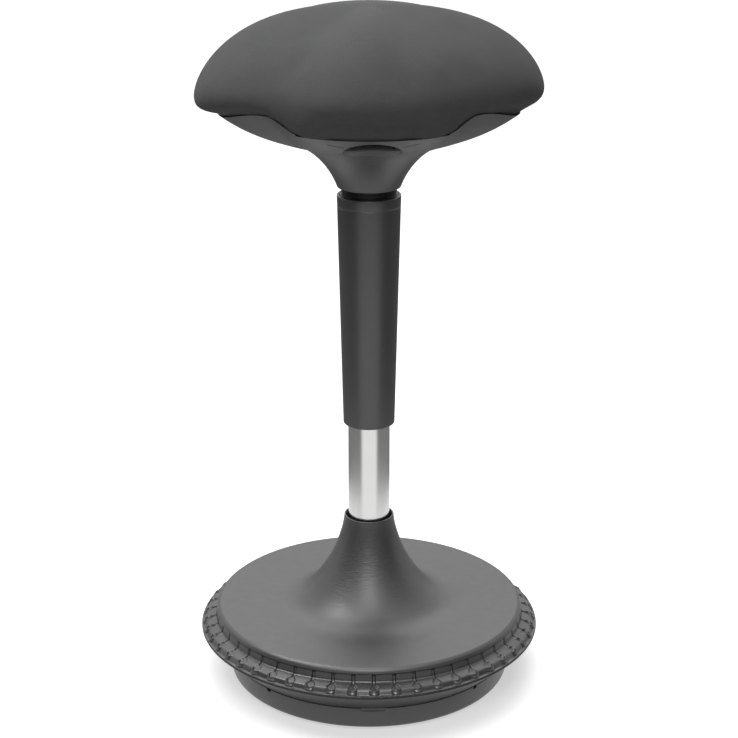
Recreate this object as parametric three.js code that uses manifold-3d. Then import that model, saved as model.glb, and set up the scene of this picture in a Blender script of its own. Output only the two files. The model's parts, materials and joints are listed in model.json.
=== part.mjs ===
import * as THREE from 'three';
import { mergeVertices } from 'three/addons/utils/BufferGeometryUtils.js';
import Module from 'manifold-3d';

// Wobble stool, in millimetres, +Z up, standing on the floor at Z = 0, its front towards -Y.
// The seat is shown 118 mm above its lowest place.

const wasm = await Module();
wasm.setup();

// Fits
const fit = 0.3;
const runningFit = 0.15;
const taperFit = 0.45;
const overrun = 4;

// Steps round the large turned pieces, the column and the seat
const baseSteps = 50;
const footSteps = 32;
const columnSteps = 24;
const boreSteps = 16;
const seatSteps = 40;
const boltSteps = 8;
const pinSteps = 16;

// Column tube, which the base and the seat are built round
const tubeRadius = 25;
const tubeWall = 2;

// Rim of the base: rubber bumper ring on the lip of the dish
const rimRadius = 207.7;
const rimHeight = 66;
const ringSetback = 0.6;
const ringEdgeHeight = 0.9;
const ringSlopeRun = 4.1;
const ringSlopeHeight = 5.2;
const ringBeadWidth = 10.5;
const ringInnerHeight = 11;
const ringTroughWidth = 3.7;
const ringWallHeight = 18.6;
const ringWallLean = 2.4;
const ringFaceRun = 1.6;
const ringStepHeight = 1.8;
const ringThickness = 2.8;
const ringOuterRadius = rimRadius - ringSetback;
const ringSlopeRadius = ringOuterRadius - ringSlopeRun;
const ringInnerRadius = ringSlopeRadius - ringBeadWidth;
const ringTroughRadius = ringInnerRadius - ringTroughWidth;

// Keyhole notches in the ring
const keyholeCount = 50;
const keyholeBulbRadius = 5;
const keyholeInset = 5.6;
const keyholeCentre = ringSlopeRadius - keyholeInset;
const keyholeNeckWidth = 3.4;
const keyholeDepth = 2.6;
const keyholeCutHeight = 10;
const keyholeArcSteps = 3;

// Bell cover
const shoulderRadius = ringTroughRadius - ringWallLean;
const shoulderHeight = 19.2;
const shoulderMidInset = 3.2;
const shoulderMidRise = 3.1;
const shoulderRun = 8.4;
const discEdgeRadius = shoulderRadius - shoulderRun;
const discEdgeHeight = 23.5;
const flareRadiusShare = 0.562;
const flareRadius = discEdgeRadius * flareRadiusShare;
const flareHeight = 28;
const collarGap = 3;
const collarWall = 2;
const collarRadius = tubeRadius + collarGap + collarWall;
const collarHeight = 140.3;
const coverWall = 3;
const flareExponent = 1.5;
const flareSteps = 6;
const flareInnerSteps = 3;

// Dish, foot ring and rubber pad under the base
const dishFloorHeight = 13;
const dishWall = 3;
const lipThickness = 2.8;
const lipRound = 0.7;
const bandInset = 5.3;
const bandTopRadius = rimRadius - bandInset;
const bandTopDrop = 5.6;
const grooveStep = 1;
const grooveRadius = bandTopRadius + grooveStep;
const shelfInset = 6.9;
const shelfRadius = shoulderRadius - shelfInset;
const bandRun = 28.9;
const footTopRadius = bandTopRadius - bandRun;
const footDraft = 2.5;
const footRadius = footTopRadius - footDraft;
const footBottom = 5;
const footTop = 33;
const footCorner = 6;
const footWall = 4;
const footFloor = 5;
const notchWidth = 29;
const notchDepth = 3.6;
const clipSlotWidth = 6;
const clipSlotHeight = 3.2;
const footInset = 14;
const padRadius = footRadius - footInset;
const padFlatShare = 0.61;
const padFlatRadius = padRadius * padFlatShare;
const padRise = 4.6;
const padSteps = 3;

// Ballast and the hub that holds the tube
const hubWall = 9;
const hubBossRadius = tubeRadius + hubWall;
const hubBossHeight = 62;
const hubFlangeWidth = 28;
const hubFlangeRadius = hubBossRadius + hubFlangeWidth;
const hubFlangeThickness = 8;
const hubFillet = 4;
const hubFloor = 5;
const hubFloorHole = 18;
const hubBoltCircle = (hubBossRadius + hubFlangeRadius) / 2;
const hubBoltRadius = 4;
const hubBoltLength = 20;
const hubBoltHeadRadius = 7;
const hubBoltHeadHeight = 4.5;
const ballastInset = 9;
const ballastRadius = padRadius - ballastInset;
const ballastHoleGap = 2;
const ballastHole = hubBossRadius + ballastHoleGap;
const ballastThickness = 14;

// Screws that hold the cover to the dish
const coverScrewOffset = 3.5;
const coverScrewCircle = ballastRadius + coverScrewOffset;
const coverScrewRadius = 2.4;
const coverScrewLength = 26;
const coverScrewHeadRadius = 4.6;
const coverScrewHeadHeight = 3;
const coverBossRadius = 5.2;

// Sleeve and the ring above it
const sleeveBottom = 326;
const sleeveLength = 281;
const sleeveTop = sleeveBottom + sleeveLength;
const sleeveGap = 2.9;
const sleeveWall = 2.8;
const sleeveTaper = 6.7;
const sleeveBottomRadius = tubeRadius + sleeveGap + sleeveWall;
const sleeveTopRadius = sleeveBottomRadius + sleeveTaper;
const sleeveRound = 2.2;
const neckRingHeight = 9;
const neckRingInset = 0.4;
const neckRingDepth = 14;
const neckRingStep = 5.1;
const neckRingBand = sleeveTopRadius - neckRingStep;
const neckRingGrooveDepth = 1;
const neckRingBandCount = 2;

// Top of the tube, with its guide bush, reached by the ring when the seat is down
const seatDrop = 118;
const dropClearance = 5;
const tubeTop = sleeveTop - neckRingDepth - seatDrop - dropClearance;
const endPlateThickness = 4;
const bushDepth = 78;
const bushFlange = 2.7;
const bearingRadius = 12;
const washerThickness = 1.5;
const ballRadius = 2;
const ballCircle = 8.6;
const ballCount = 6;
const cageThickness = 1.6;
const cageWall = 2.6;
const bumperRadius = 15;
const bumperHeight = 12;

// Seat shell: neck, dish and wavy rim
const lobeRadius = 198.4;
const neckBottom = sleeveTop + neckRingHeight;
const neckOverhang = 0.3;
const neckRadius = sleeveTopRadius + neckOverhang;
const neckRound = 2.4;
const neckCurveLowOut = 6.7;
const neckCurveLowRise = 20.1;
const neckCurveHighOut = 23;
const neckCurveHighRise = 45.7;
const shellRimInset = 26.4;
const shellRimRadius = lobeRadius - shellRimInset;
const dishStartShare = 0.552;
const dishStartRadius = shellRimRadius * dishStartShare;
const dishStartRise = 58;
const dishStartHeight = neckBottom + dishStartRise;
const neckSteps = 5;
const neckInnerSteps = 3;
const shellWall = 3;
const dishRise = 31.2;
const dishStartSlopeShare = 0.1;
const shellRimHeight = dishStartHeight + dishRise;
const shellValleyInset = 6;
const shellValleyRise = 17;
const frontValleyShare = 5;
const frontRecessWidthShare = 0.965;
const frontRecessDepth = 2.4;

// Finger opening in the front of the shell
const scoopCentreShare = 0.756;
const scoopCentre = shellRimRadius * scoopCentreShare;
const scoopLength = 66;
const scoopWidth = 66;
const scoopDepth = 9;
const openingWidth = 61;
const openingInward = 22;
const openingOutward = 26;
const openingNear = scoopCentre - openingInward;
const openingFar = scoopCentre + openingOutward;
const slitWidth = 1.3;
const slitLength = 16;
const slitOutward = 17;
const slitPlace = scoopCentre + slitOutward;
const slitRise = 14;

// Pressure cylinder of the gas spring, which lifts with the seat
const cylinderRadius = 14;
const cylinderWall = 1.6;
const cylinderTopRise = 39;
const cylinderTop = neckBottom + cylinderTopRise;
const cylinderLength = 339;
const cylinderBottom = cylinderTop - cylinderLength;
const cylinderCap = 19;
const cylinderTaperLength = 43;
const cylinderTaper = 0.9;
const glandHeight = 12;
const valveHoleRadius = 3.6;
const bushRadius = cylinderRadius + taperFit;

// Piston rod of the gas spring, which swivels on the bearing
const rodRadius = 5;
const rodTipRadius = 4.2;
const rodTipDrop = 8;
const rodEntry = 36;
const rodTop = cylinderBottom + rodEntry;
const pistonHeight = 14;
const clipRadius = 9;
const clipThickness = 1.4;
const clipGapDegrees = 50;

// Seat mechanism
const hubSleeveRadius = 19;
const hubSleeveDrop = 4;
const hubSleeveBottom = neckBottom - hubSleeveDrop;
const bracketStand = 2;
const bracketBottom = cylinderTop + bracketStand;
const bracketWall = 3;
const bracketWidth = 48;
const bracketFront = 40;
const bracketBack = 30;
const boardStand = 0.8;
const boardBottom = shellRimHeight + boardStand;
const boardThickness = 12;
const boardInset = 15;
const boardRadius = shellRimRadius - boardInset;
const boardValleyInset = 25;
const plateThickness = 3;
const plateSideShare = 0.872;
const plateSide = shellRimRadius * plateSideShare;
const plateCorner = 12;
const plateBoltShare = 0.387;
const plateBoltPlace = plateSide * plateBoltShare;
const plateBoltRadius = 3;
const plateBoltLength = 13;
const plateBoltHeadRadius = 5.5;
const plateBoltHeadHeight = 4;
const shellScrewCircleShare = 0.663;
const shellScrewCircle = shellRimRadius * shellScrewCircleShare;
const shellScrewRadius = 2;
const shellScrewHeadRadius = 4.2;
const shellScrewHeadHeight = 2.6;
const shellScrewBiteShare = 0.8;
const shellBossRadius = 8;
const shellBossFloor = 5;

// Release lever and valve button
const leverPivotForward = 30;
const leverPivotRise = 19;
const leverPivotHeight = bracketBottom + leverPivotRise;
const leverPivotRadius = 3;
const leverEyeRadius = 6.5;
const leverWidth = 12;
const leverThickness = 3;
const leverNose = 3.4;
const leverNoseHeight = 4.5;
const leverDrop = 16;
const leverLevel = boardBottom - leverDrop;
const gripWidth = 50;
const gripBackWidth = 30;
const gripLength = 19;
const gripSetback = 30;
const gripFar = openingFar - gripSetback;
const gripNear = gripFar - gripLength;
const gripThickness = 6;
const gripCorner = 6;
const leverEndInset = 5;
const leverReach = gripFar - leverEndInset;
const leverBendInset = 15;
const leverBend = gripNear - leverBendInset;
const buttonRadius = 3.2;
const buttonRise = 8.5;
const buttonTop = cylinderTop + buttonRise;
const buttonLength = 22;

// Cushion: widest line, crown and tucked edge of the four lobes
const coverEdgeStand = 0.4;
const coverEdgeHeight = shellRimHeight + coverEdgeStand;
const lobeRise = 22.4;
const lobeHeight = coverEdgeHeight + lobeRise;
const valleyInset = 31;
const valleyRise = 4.4;
const crownRise = 95.6;
const crownHeight = lobeHeight + crownRise;
const tuckInset = 34;
const fabricThickness = 2;
const hemGap = 3;
const seatDepthShare = 0.96;
const valleyNarrowShare = 1.5;
const crownRoundShare = 0.79;
const crownFlatShare = 1.17;
const valleyTuckShare = 0.1;
const crownRows = 8;
const crownTuckRows = 4;
const foamRows = 4;
const foamTuckRows = 2;

// Finishes
const finish = (color, roughness, metalness) => new THREE.MeshStandardMaterial({ color, roughness, metalness });
const coverPlastic = () => finish(0x67686a, 0.5, 0);
const darkPlastic = () => finish(0x3c3d3f, 0.6, 0);
const blackPlastic = () => finish(0x161617, 0.55, 0);
const rubber = () => finish(0x2c2d2e, 0.8, 0);
const chrome = () => finish(0xb9bbbd, 0.25, 1);
const steel = () => finish(0x8d9094, 0.4, 1);
const castIron = () => finish(0x3a3b3d, 0.75, 0.8);
const fabric = () => finish(0x47484a, 0.95, 0);
const foam = () => finish(0xd9d2bd, 0.95, 0);
const wood = () => finish(0xc9a875, 0.7, 0);

const stool = new THREE.Group();

function add(name, geometry, material) {
  const mesh = new THREE.Mesh(geometry, material);
  mesh.name = name;
  stool.add(mesh);
  return mesh;
}

// Shared vertices merged, folded triangles dropped, faces turned outwards
function closed(geometry) {
  const bare = new THREE.BufferGeometry();
  bare.setAttribute('position', geometry.getAttribute('position').clone());
  if (geometry.index) bare.setIndex(geometry.index.clone());
  const merged = mergeVertices(bare, fit / 1000);
  const corners = merged.index.array;
  const kept = [];
  for (let i = 0; i < corners.length; i += 3) {
    const [a, b, c] = [corners[i], corners[i + 1], corners[i + 2]];
    if (a !== b && b !== c && c !== a) kept.push(a, b, c);
  }
  const points = merged.getAttribute('position');
  const p = [new THREE.Vector3(), new THREE.Vector3(), new THREE.Vector3()];
  let volume = 0;
  for (let i = 0; i < kept.length; i += 3) {
    p.forEach((corner, k) => corner.fromBufferAttribute(points, kept[i + k]));
    volume += p[0].dot(p[1].cross(p[2]));
  }
  if (volume < 0) kept.reverse();
  merged.setIndex(kept);
  return merged;
}

function toManifold(geometry) {
  const body = closed(geometry);
  return new wasm.Manifold(new wasm.Mesh({
    numProp: 3,
    vertProperties: new Float32Array(body.getAttribute('position').array),
    triVerts: new Uint32Array(body.index.array),
  }));
}

function toGeometry(manifold) {
  const mesh = manifold.getMesh();
  const geometry = new THREE.BufferGeometry();
  const points = new Float32Array(mesh.numVert * 3);
  for (let i = 0; i < mesh.numVert; i += 1) {
    for (let k = 0; k < 3; k += 1) points[i * 3 + k] = mesh.vertProperties[i * mesh.numProp + k];
  }
  geometry.setAttribute('position', new THREE.BufferAttribute(points, 3));
  geometry.setIndex(Array.from(mesh.triVerts));
  return geometry;
}

function cut(geometry, cutters) {
  let body = toManifold(geometry);
  for (const cutter of cutters) body = body.subtract(toManifold(cutter));
  return toGeometry(body);
}

function join(geometries) {
  let body = toManifold(geometries[0]);
  for (const other of geometries.slice(1)) body = body.add(toManifold(other));
  return toGeometry(body);
}

// Turned solid about Z from an outline of [radius, height] that starts and ends on the axis,
// with the middle of a facet at the front
function turned(outline, steps) {
  const points = outline.map(([r, z]) => new THREE.Vector2(r, z));
  const geometry = new THREE.LatheGeometry(points, steps, Math.PI / steps);
  geometry.rotateX(Math.PI / 2);
  return closed(geometry);
}

// Turned ring about Z from an outline that closes on itself
function turnedRing(outline, steps) {
  return turned([...outline, outline[0]], steps);
}

function post(radius, bottom, top, steps, x = 0, y = 0) {
  const geometry = turned([[0, bottom], [radius, bottom], [radius, top], [0, top]], steps);
  geometry.translate(x, y, 0);
  return geometry;
}

function tubeOf(inner, outer, bottom, top, steps) {
  return turnedRing([[inner, bottom], [outer, bottom], [outer, top], [inner, top]], steps);
}

// Box between two corners
function block(x0, x1, y0, y1, z0, z1) {
  const geometry = new THREE.BoxGeometry(x1 - x0, y1 - y0, z1 - z0);
  geometry.translate((x0 + x1) / 2, (y0 + y1) / 2, (z0 + z1) / 2);
  return geometry;
}

// Plate of a flat outline, standing from one height to another
function plateOf(shape, bottom, top, curveSteps) {
  const options = { depth: top - bottom, bevelEnabled: false, curveSegments: curveSteps };
  const geometry = new THREE.ExtrudeGeometry(shape, options);
  geometry.translate(0, 0, bottom);
  return geometry;
}

// Solid whose outline changes with the angle round Z; each outline starts and ends on the axis
function lofted(outlineAt, steps) {
  const first = outlineAt(0);
  const rings = first.length - 2;
  const points = [0, 0, first[0][1], 0, 0, first[rings + 1][1]];
  for (let i = 0; i < steps; i += 1) {
    const angle = (2 * Math.PI * i) / steps;
    const outline = outlineAt(angle);
    for (let j = 1; j <= rings; j += 1) {
      points.push(outline[j][0] * Math.cos(angle), outline[j][0] * Math.sin(angle), outline[j][1]);
    }
  }
  const at = (i, j) => 2 + (i % steps) * rings + j;
  const faces = [];
  for (let i = 0; i < steps; i += 1) {
    faces.push(0, at(i, 0), at(i + 1, 0), 1, at(i + 1, rings - 1), at(i, rings - 1));
    for (let j = 0; j < rings - 1; j += 1) {
      faces.push(at(i, j), at(i, j + 1), at(i + 1, j + 1), at(i, j), at(i + 1, j + 1), at(i + 1, j));
    }
  }
  const geometry = new THREE.BufferGeometry();
  geometry.setAttribute('position', new THREE.BufferAttribute(new Float32Array(points), 3));
  geometry.setIndex(faces);
  return closed(geometry);
}

// Headed screw or bolt along Z, its head below the shank's foot
function headedBolt(headRadius, headHeight, shankRadius, seatHeight, length) {
  return turned([
    [0, seatHeight - headHeight], [headRadius, seatHeight - headHeight], [headRadius, seatHeight],
    [shankRadius, seatHeight], [shankRadius, seatHeight + length], [0, seatHeight + length],
  ], boltSteps);
}

// Places of four pieces on the diagonals at one radius
const diagonals = [45, 135, 225, 315].map((degrees) => THREE.MathUtils.degToRad(degrees));
const onDiagonals = (radius) => diagonals.map((a) => [radius * Math.cos(a), radius * Math.sin(a)]);

function addFour(name, makeGeometry, places, material) {
  places.forEach(([x, y], i) => {
    const geometry = makeGeometry();
    geometry.translate(x, y, 0);
    add(`${name}_${i + 1}`, geometry, material());
  });
}

// Base dish: floor, wall inside the foot ring, slanting band, lip and shelf
const dishTop = dishFloorHeight + dishWall;
const dishOuter = footTopRadius - footWall - fit;
const dishLower = footRadius - footWall - fit;
const dishOutline = [
  [hubFloorHole + dishWall, dishFloorHeight],
  [dishLower, dishFloorHeight],
  [dishOuter, footTop + fit],
  [footTopRadius, footTop + fit],
  [bandTopRadius, rimHeight - bandTopDrop],
  [grooveRadius, rimHeight - lipThickness],
  [rimRadius - lipRound, rimHeight - lipThickness],
  [rimRadius, rimHeight - lipThickness / 2],
  [rimRadius - lipRound, rimHeight],
  [shelfRadius, rimHeight],
  [shelfRadius, rimHeight - dishWall],
  [bandTopRadius - dishWall / 2, rimHeight - dishWall],
  [footTopRadius - dishWall / 2, footTop + fit + dishWall],
  [dishOuter - dishWall, footTop + fit + dishWall],
  [dishLower - dishWall, dishTop],
  [hubFloorHole + dishWall, dishTop],
];
const coverScrewPlaces = onDiagonals(coverScrewCircle);
const screwHoles = (radius, bottom, top, places) => places.map(([x, y]) => post(radius, bottom, top, boltSteps, x, y));
add('base_dish', cut(
  turnedRing(dishOutline, footSteps),
  screwHoles(coverScrewRadius + fit, dishFloorHeight - overrun, dishTop + overrun, coverScrewPlaces),
), darkPlastic());

// Foot ring with the front notch and four clip slots in its upper edge
const footArc = [1, 2].map((k) => {
  const angle = (k / 3) * (Math.PI / 2);
  return [footRadius - footCorner + footCorner * Math.sin(angle), footBottom + footCorner * (1 - Math.cos(angle))];
});
const footOutline = [
  [padRadius + fit, footBottom],
  [footRadius - footCorner, footBottom],
  ...footArc,
  [footRadius, footBottom + footCorner],
  [footTopRadius, footTop],
  [footTopRadius - footWall, footTop],
  [footRadius - footWall, footBottom + footFloor],
  [padRadius + fit, footBottom + footFloor],
];
const frontNotch = block(
  -notchWidth / 2, notchWidth / 2, -footTopRadius - overrun, -footRadius + footWall / 2,
  footTop - notchDepth, footTop + overrun,
);
const clipSlots = diagonals.map((angle) => {
  const slot = block(
    footRadius - footWall / 2, footTopRadius + overrun, -clipSlotWidth / 2, clipSlotWidth / 2,
    footTop - clipSlotHeight, footTop + overrun,
  );
  slot.rotateZ(angle);
  return slot;
});
add('foot_ring', cut(turnedRing(footOutline, footSteps), [frontNotch, ...clipSlots]), darkPlastic());

// Rubber pad: flat in the middle, then rolling up towards its edge
const padTop = dishFloorHeight - fit;
const padRoll = Array.from({ length: padSteps }, (_, k) => {
  const share = (k + 1) / padSteps;
  return [padFlatRadius + (padRadius - padFlatRadius) * share, padRise * share * share];
});
const padOutline = [[0, 0], [padFlatRadius, 0], ...padRoll, [padRadius, padTop], [0, padTop]];
const headPockets = coverScrewPlaces.map(([x, y]) => post(
  coverScrewHeadRadius + fit, padTop - coverScrewHeadHeight - fit, padTop + overrun, boltSteps, x, y,
));
const clipPocket = post(hubFloorHole, padTop - overrun / 2, padTop + overrun, boreSteps);
add('bottom_pad', cut(turned(padOutline, footSteps), [...headPockets, clipPocket]), rubber());

addFour('cover_screw', () => headedBolt(
  coverScrewHeadRadius, coverScrewHeadHeight, coverScrewRadius, dishFloorHeight - fit, coverScrewLength,
), coverScrewPlaces, steel);

// Rubber ring on the lip, with keyhole notches
const ringBottom = rimHeight + fit;
const coverSkirtRadius = shoulderRadius - ringThickness - fit;
const ringOutline = [
  [coverSkirtRadius + fit, ringBottom],
  [ringOuterRadius, ringBottom],
  [ringOuterRadius, ringBottom + ringEdgeHeight],
  [ringSlopeRadius + ringFaceRun, rimHeight + ringStepHeight],
  [ringSlopeRadius, rimHeight + ringSlopeHeight],
  [ringInnerRadius, rimHeight + ringInnerHeight],
  [ringTroughRadius, rimHeight + ringInnerHeight],
  [shoulderRadius, rimHeight + ringWallHeight],
  [coverSkirtRadius + fit, rimHeight + ringWallHeight],
];

// One keyhole cutter at the front, square to the ring's slope: a round bulb and a neck that runs up the inner wall
const ringSlope = Math.atan2(ringInnerHeight - ringSlopeHeight, ringSlopeRadius - ringInnerRadius);
const keyholeNeckReach = (keyholeCentre - shoulderRadius + ringThickness / 2) / Math.cos(ringSlope);
function keyholeCutter() {
  const shape = new THREE.Shape();
  const half = keyholeNeckWidth / 2;
  const mouth = Math.acos(half / keyholeBulbRadius);
  shape.moveTo(-half, keyholeNeckReach);
  shape.absarc(0, 0, keyholeBulbRadius, Math.PI - mouth, 2 * Math.PI + mouth, false);
  shape.lineTo(half, keyholeNeckReach);
  const cutter = plateOf(shape, -keyholeDepth, keyholeCutHeight, keyholeArcSteps);
  cutter.rotateX(ringSlope);
  const slopeDrop = (keyholeCentre - ringInnerRadius) * Math.tan(ringSlope);
  cutter.translate(0, -keyholeCentre, rimHeight + ringInnerHeight - slopeDrop);
  return cutter;
}
const keyholes = Array.from({ length: keyholeCount }, (_, i) => {
  const cutter = keyholeCutter();
  cutter.rotateZ((2 * Math.PI * i) / keyholeCount);
  return cutter;
});
add('rim_ring', cut(turnedRing(ringOutline, baseSteps), keyholes), rubber());

// Bell cover: collar, concave flare, nearly flat disc, rounded shoulder and a skirt inside the ring
function flare(topRadius, endRadius, topHeight, endHeight, steps) {
  return Array.from({ length: steps + 1 }, (_, k) => {
    const angle = (k / steps) * (Math.PI / 2);
    const across = Math.abs(Math.cos(angle)) ** (2 / flareExponent);
    const down = Math.sin(angle) ** (2 / flareExponent);
    return [endRadius - (endRadius - topRadius) * across, topHeight - (topHeight - endHeight) * down];
  });
}
const collarTop = rimHeight + collarHeight;
const coverEdge = rimHeight + ringWallHeight + fit;
const coverOutside = [
  ...flare(collarRadius, flareRadius, collarTop, rimHeight + flareHeight, flareSteps),
  [discEdgeRadius, rimHeight + discEdgeHeight],
  [shoulderRadius - shoulderMidInset, rimHeight + shoulderHeight + shoulderMidRise],
  [shoulderRadius, rimHeight + shoulderHeight],
  [shoulderRadius, coverEdge],
  [coverSkirtRadius, coverEdge],
  [coverSkirtRadius, ringBottom],
];
const coverInside = [
  [coverSkirtRadius - coverWall, ringBottom],
  [coverSkirtRadius - coverWall, rimHeight + shoulderHeight],
  [discEdgeRadius - coverWall, rimHeight + discEdgeHeight - coverWall],
  ...flare(
    collarRadius - collarWall, flareRadius - coverWall, collarTop, rimHeight + flareHeight - coverWall, flareInnerSteps,
  ).reverse(),
];
const coverSkin = turnedRing([...coverOutside, ...coverInside], baseSteps);
const bossTop = rimHeight + (discEdgeHeight + flareHeight) / 2 - coverWall / 2;
const coverBosses = coverScrewPlaces.map(([x, y]) => post(coverBossRadius, dishTop + fit, bossTop, boltSteps, x, y));
const coverScrewBores = screwHoles(
  coverScrewRadius + fit, dishTop - overrun, dishFloorHeight + coverScrewLength + overrun, coverScrewPlaces,
);
add('base_cover', cut(join([coverSkin, ...coverBosses]), coverScrewBores), coverPlastic());

// Ballast with its hub bolted on top
const ballastBottom = dishTop + fit;
const hubBottom = ballastBottom + ballastThickness + fit;
const hubSeat = hubBottom + hubFloor;
const hubFlangeTop = hubBottom + hubFlangeThickness;
const hubBoltPlaces = onDiagonals(hubBoltCircle);
const hubBoltSeat = hubFlangeTop + fit;
const hubBoltHoles = screwHoles(hubBoltRadius + fit, ballastBottom - overrun, hubFlangeTop + overrun, hubBoltPlaces);
const ballastBossHoles = screwHoles(
  coverBossRadius + fit, ballastBottom - overrun, hubBottom + overrun, coverScrewPlaces,
);
add('ballast_plate', cut(
  tubeOf(ballastHole, ballastRadius, ballastBottom, ballastBottom + ballastThickness, columnSteps),
  [...hubBoltHoles, ...ballastBossHoles],
), castIron());
add('hub_socket', cut(turnedRing([
  [hubFloorHole, hubBottom], [hubFlangeRadius, hubBottom], [hubFlangeRadius, hubFlangeTop],
  [hubBossRadius + hubFillet, hubFlangeTop], [hubBossRadius, hubFlangeTop + hubFillet],
  [hubBossRadius, hubBottom + hubBossHeight],
  [tubeRadius + fit, hubBottom + hubBossHeight], [tubeRadius + fit, hubSeat], [hubFloorHole, hubSeat],
], columnSteps), hubBoltHoles), castIron());
addFour('hub_bolt', () => {
  const bolt = headedBolt(hubBoltHeadRadius, hubBoltHeadHeight, hubBoltRadius, 0, hubBoltLength);
  bolt.rotateX(Math.PI);
  bolt.translate(0, 0, hubBoltSeat);
  return bolt;
}, hubBoltPlaces, steel);

// Column tube, end plate and guide bush
const tubeBottom = hubSeat + fit;
const tubeInner = tubeRadius - tubeWall;
add('outer_tube', tubeOf(tubeInner, tubeRadius, tubeBottom, tubeTop, columnSteps), chrome());
const endPlateTop = tubeBottom + endPlateThickness;
const tipHole = rodTipRadius + runningFit;
add('tube_end_plate', tubeOf(tipHole, tubeInner - fit, tubeBottom, endPlateTop, boreSteps), steel());
add('guide_bush', turnedRing([
  [bushRadius, tubeTop - bushDepth], [tubeInner - fit, tubeTop - bushDepth], [tubeInner - fit, tubeTop + fit],
  [tubeRadius, tubeTop + fit], [tubeRadius, tubeTop + fit + bushFlange], [bushRadius, tubeTop + fit + bushFlange],
], columnSteps), blackPlastic());

// Thrust bearing of the swivel, with its balls held in the cage
const lowerWasherBottom = endPlateTop + fit;
const ballHeight = lowerWasherBottom + washerThickness + runningFit + ballRadius;
const upperWasherBottom = ballHeight + ballRadius + runningFit;
add('bearing_lower_washer', tubeOf(
  tipHole, bearingRadius, lowerWasherBottom, lowerWasherBottom + washerThickness, boreSteps,
), steel());
const cage = tubeOf(
  ballCircle - cageWall, ballCircle + cageWall, ballHeight - cageThickness / 2, ballHeight + cageThickness / 2, boreSteps,
);
const balls = Array.from({ length: ballCount }, (_, i) => {
  const angle = (2 * Math.PI * i) / ballCount;
  const ball = new THREE.SphereGeometry(ballRadius, 6, 4);
  ball.rotateX(Math.PI / 2);
  ball.translate(ballCircle * Math.cos(angle), ballCircle * Math.sin(angle), ballHeight);
  return ball;
});
add('ball_cage', join([cage, ...balls]), steel());
add('bearing_upper_washer', tubeOf(
  tipHole, bearingRadius, upperWasherBottom, upperWasherBottom + washerThickness, boreSteps,
), steel());

// Swivelling rod with its shoulder on the upper washer, its clip below and its piston on top
const rodShoulder = upperWasherBottom + washerThickness + fit;
add('piston_rod', turned([
  [0, tubeBottom - rodTipDrop], [rodTipRadius, tubeBottom - rodTipDrop], [rodTipRadius, rodShoulder],
  [rodRadius, rodShoulder], [rodRadius, rodTop], [0, rodTop],
], boreSteps), steel());
add('rubber_bumper', tubeOf(
  rodRadius + fit, bumperRadius, rodShoulder, rodShoulder + bumperHeight, boreSteps,
), rubber());
const bore = cylinderRadius - cylinderWall;
add('piston_head', post(bore - fit, rodTop, rodTop + pistonHeight, boreSteps), steel());
const clipShape = new THREE.Shape();
const clipGap = THREE.MathUtils.degToRad(clipGapDegrees);
clipShape.absarc(0, 0, clipRadius, clipGap / 2, 2 * Math.PI - clipGap / 2, false);
clipShape.absarc(0, 0, tipHole + fit, 2 * Math.PI - clipGap / 2, clipGap / 2, true);
add('rod_clip', plateOf(clipShape, tubeBottom - fit - clipThickness, tubeBottom - fit, 4), steel());

// Pressure cylinder: open at the bottom round its gland, tapered at the top round the valve
const taperStart = cylinderTop - cylinderTaperLength;
const taperTopRadius = cylinderRadius - cylinderTaper;
add('pressure_cylinder', turnedRing([
  [bore, cylinderBottom], [cylinderRadius, cylinderBottom], [cylinderRadius, taperStart],
  [taperTopRadius, cylinderTop], [valveHoleRadius, cylinderTop], [valveHoleRadius, cylinderTop - cylinderCap],
  [bore, cylinderTop - cylinderCap],
], boreSteps), blackPlastic());
add('cylinder_gland', tubeOf(
  rodRadius + runningFit, bore - fit, cylinderBottom + fit, cylinderBottom + glandHeight, boreSteps,
), steel());

// Sleeve with rounded ends, hanging from the stepped ring below the neck
const roundedEnd = (outer, inner, end, direction) => [
  [outer, end - direction * sleeveRound],
  [outer - sleeveRound * (1 - Math.SQRT1_2), end - direction * sleeveRound * (1 - Math.SQRT1_2)],
  [Math.max(outer - sleeveRound, (outer + inner) / 2), end],
  [inner, end],
];
const sleeveOutline = [
  ...roundedEnd(sleeveBottomRadius, sleeveBottomRadius - sleeveWall, sleeveBottom, -1).reverse(),
  ...roundedEnd(sleeveTopRadius, sleeveTopRadius - sleeveWall, sleeveTop, 1),
];
add('sleeve', turnedRing(sleeveOutline, columnSteps), darkPlastic());
const ringBandStep = (neckBottom - fit - sleeveTop) / (2 * neckRingBandCount + 1);
const neckRingGroove = neckRingBand - neckRingGrooveDepth;
const neckBands = Array.from({ length: neckRingBandCount }, (_, k) => {
  const low = sleeveTop + (2 * k + 1) * ringBandStep;
  return [
    [neckRingBand, low], [neckRingGroove, low],
    [neckRingGroove, low + ringBandStep], [neckRingBand, low + ringBandStep],
  ];
}).flat();
const sleeveInnerAt = (height) => {
  const share = (height - sleeveBottom) / (sleeveTop - sleeveBottom);
  return sleeveBottomRadius - sleeveWall + (sleeveTopRadius - sleeveBottomRadius) * share;
};
const neckRingFoot = sleeveTop - neckRingDepth;
add('neck_ring', turnedRing([
  [hubSleeveRadius + fit, neckRingFoot],
  [sleeveInnerAt(neckRingFoot) - neckRingInset, neckRingFoot],
  [sleeveInnerAt(sleeveTop) - neckRingInset, sleeveTop],
  [neckRingBand, sleeveTop],
  ...neckBands,
  [neckRingBand, neckBottom - fit],
  [hubSleeveRadius + fit, neckBottom - fit],
], columnSteps), blackPlastic());

// Four-lobed forms: 0 in the middle of a lobe, 1 in a valley, and the seat a little shallower than wide
const valleyAt = (angle) => (0.5 - 0.5 * Math.cos(4 * angle)) ** valleyNarrowShare;
const depthAt = (angle) => 1 - (1 - seatDepthShare) * Math.sin(angle) ** 2;

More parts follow.
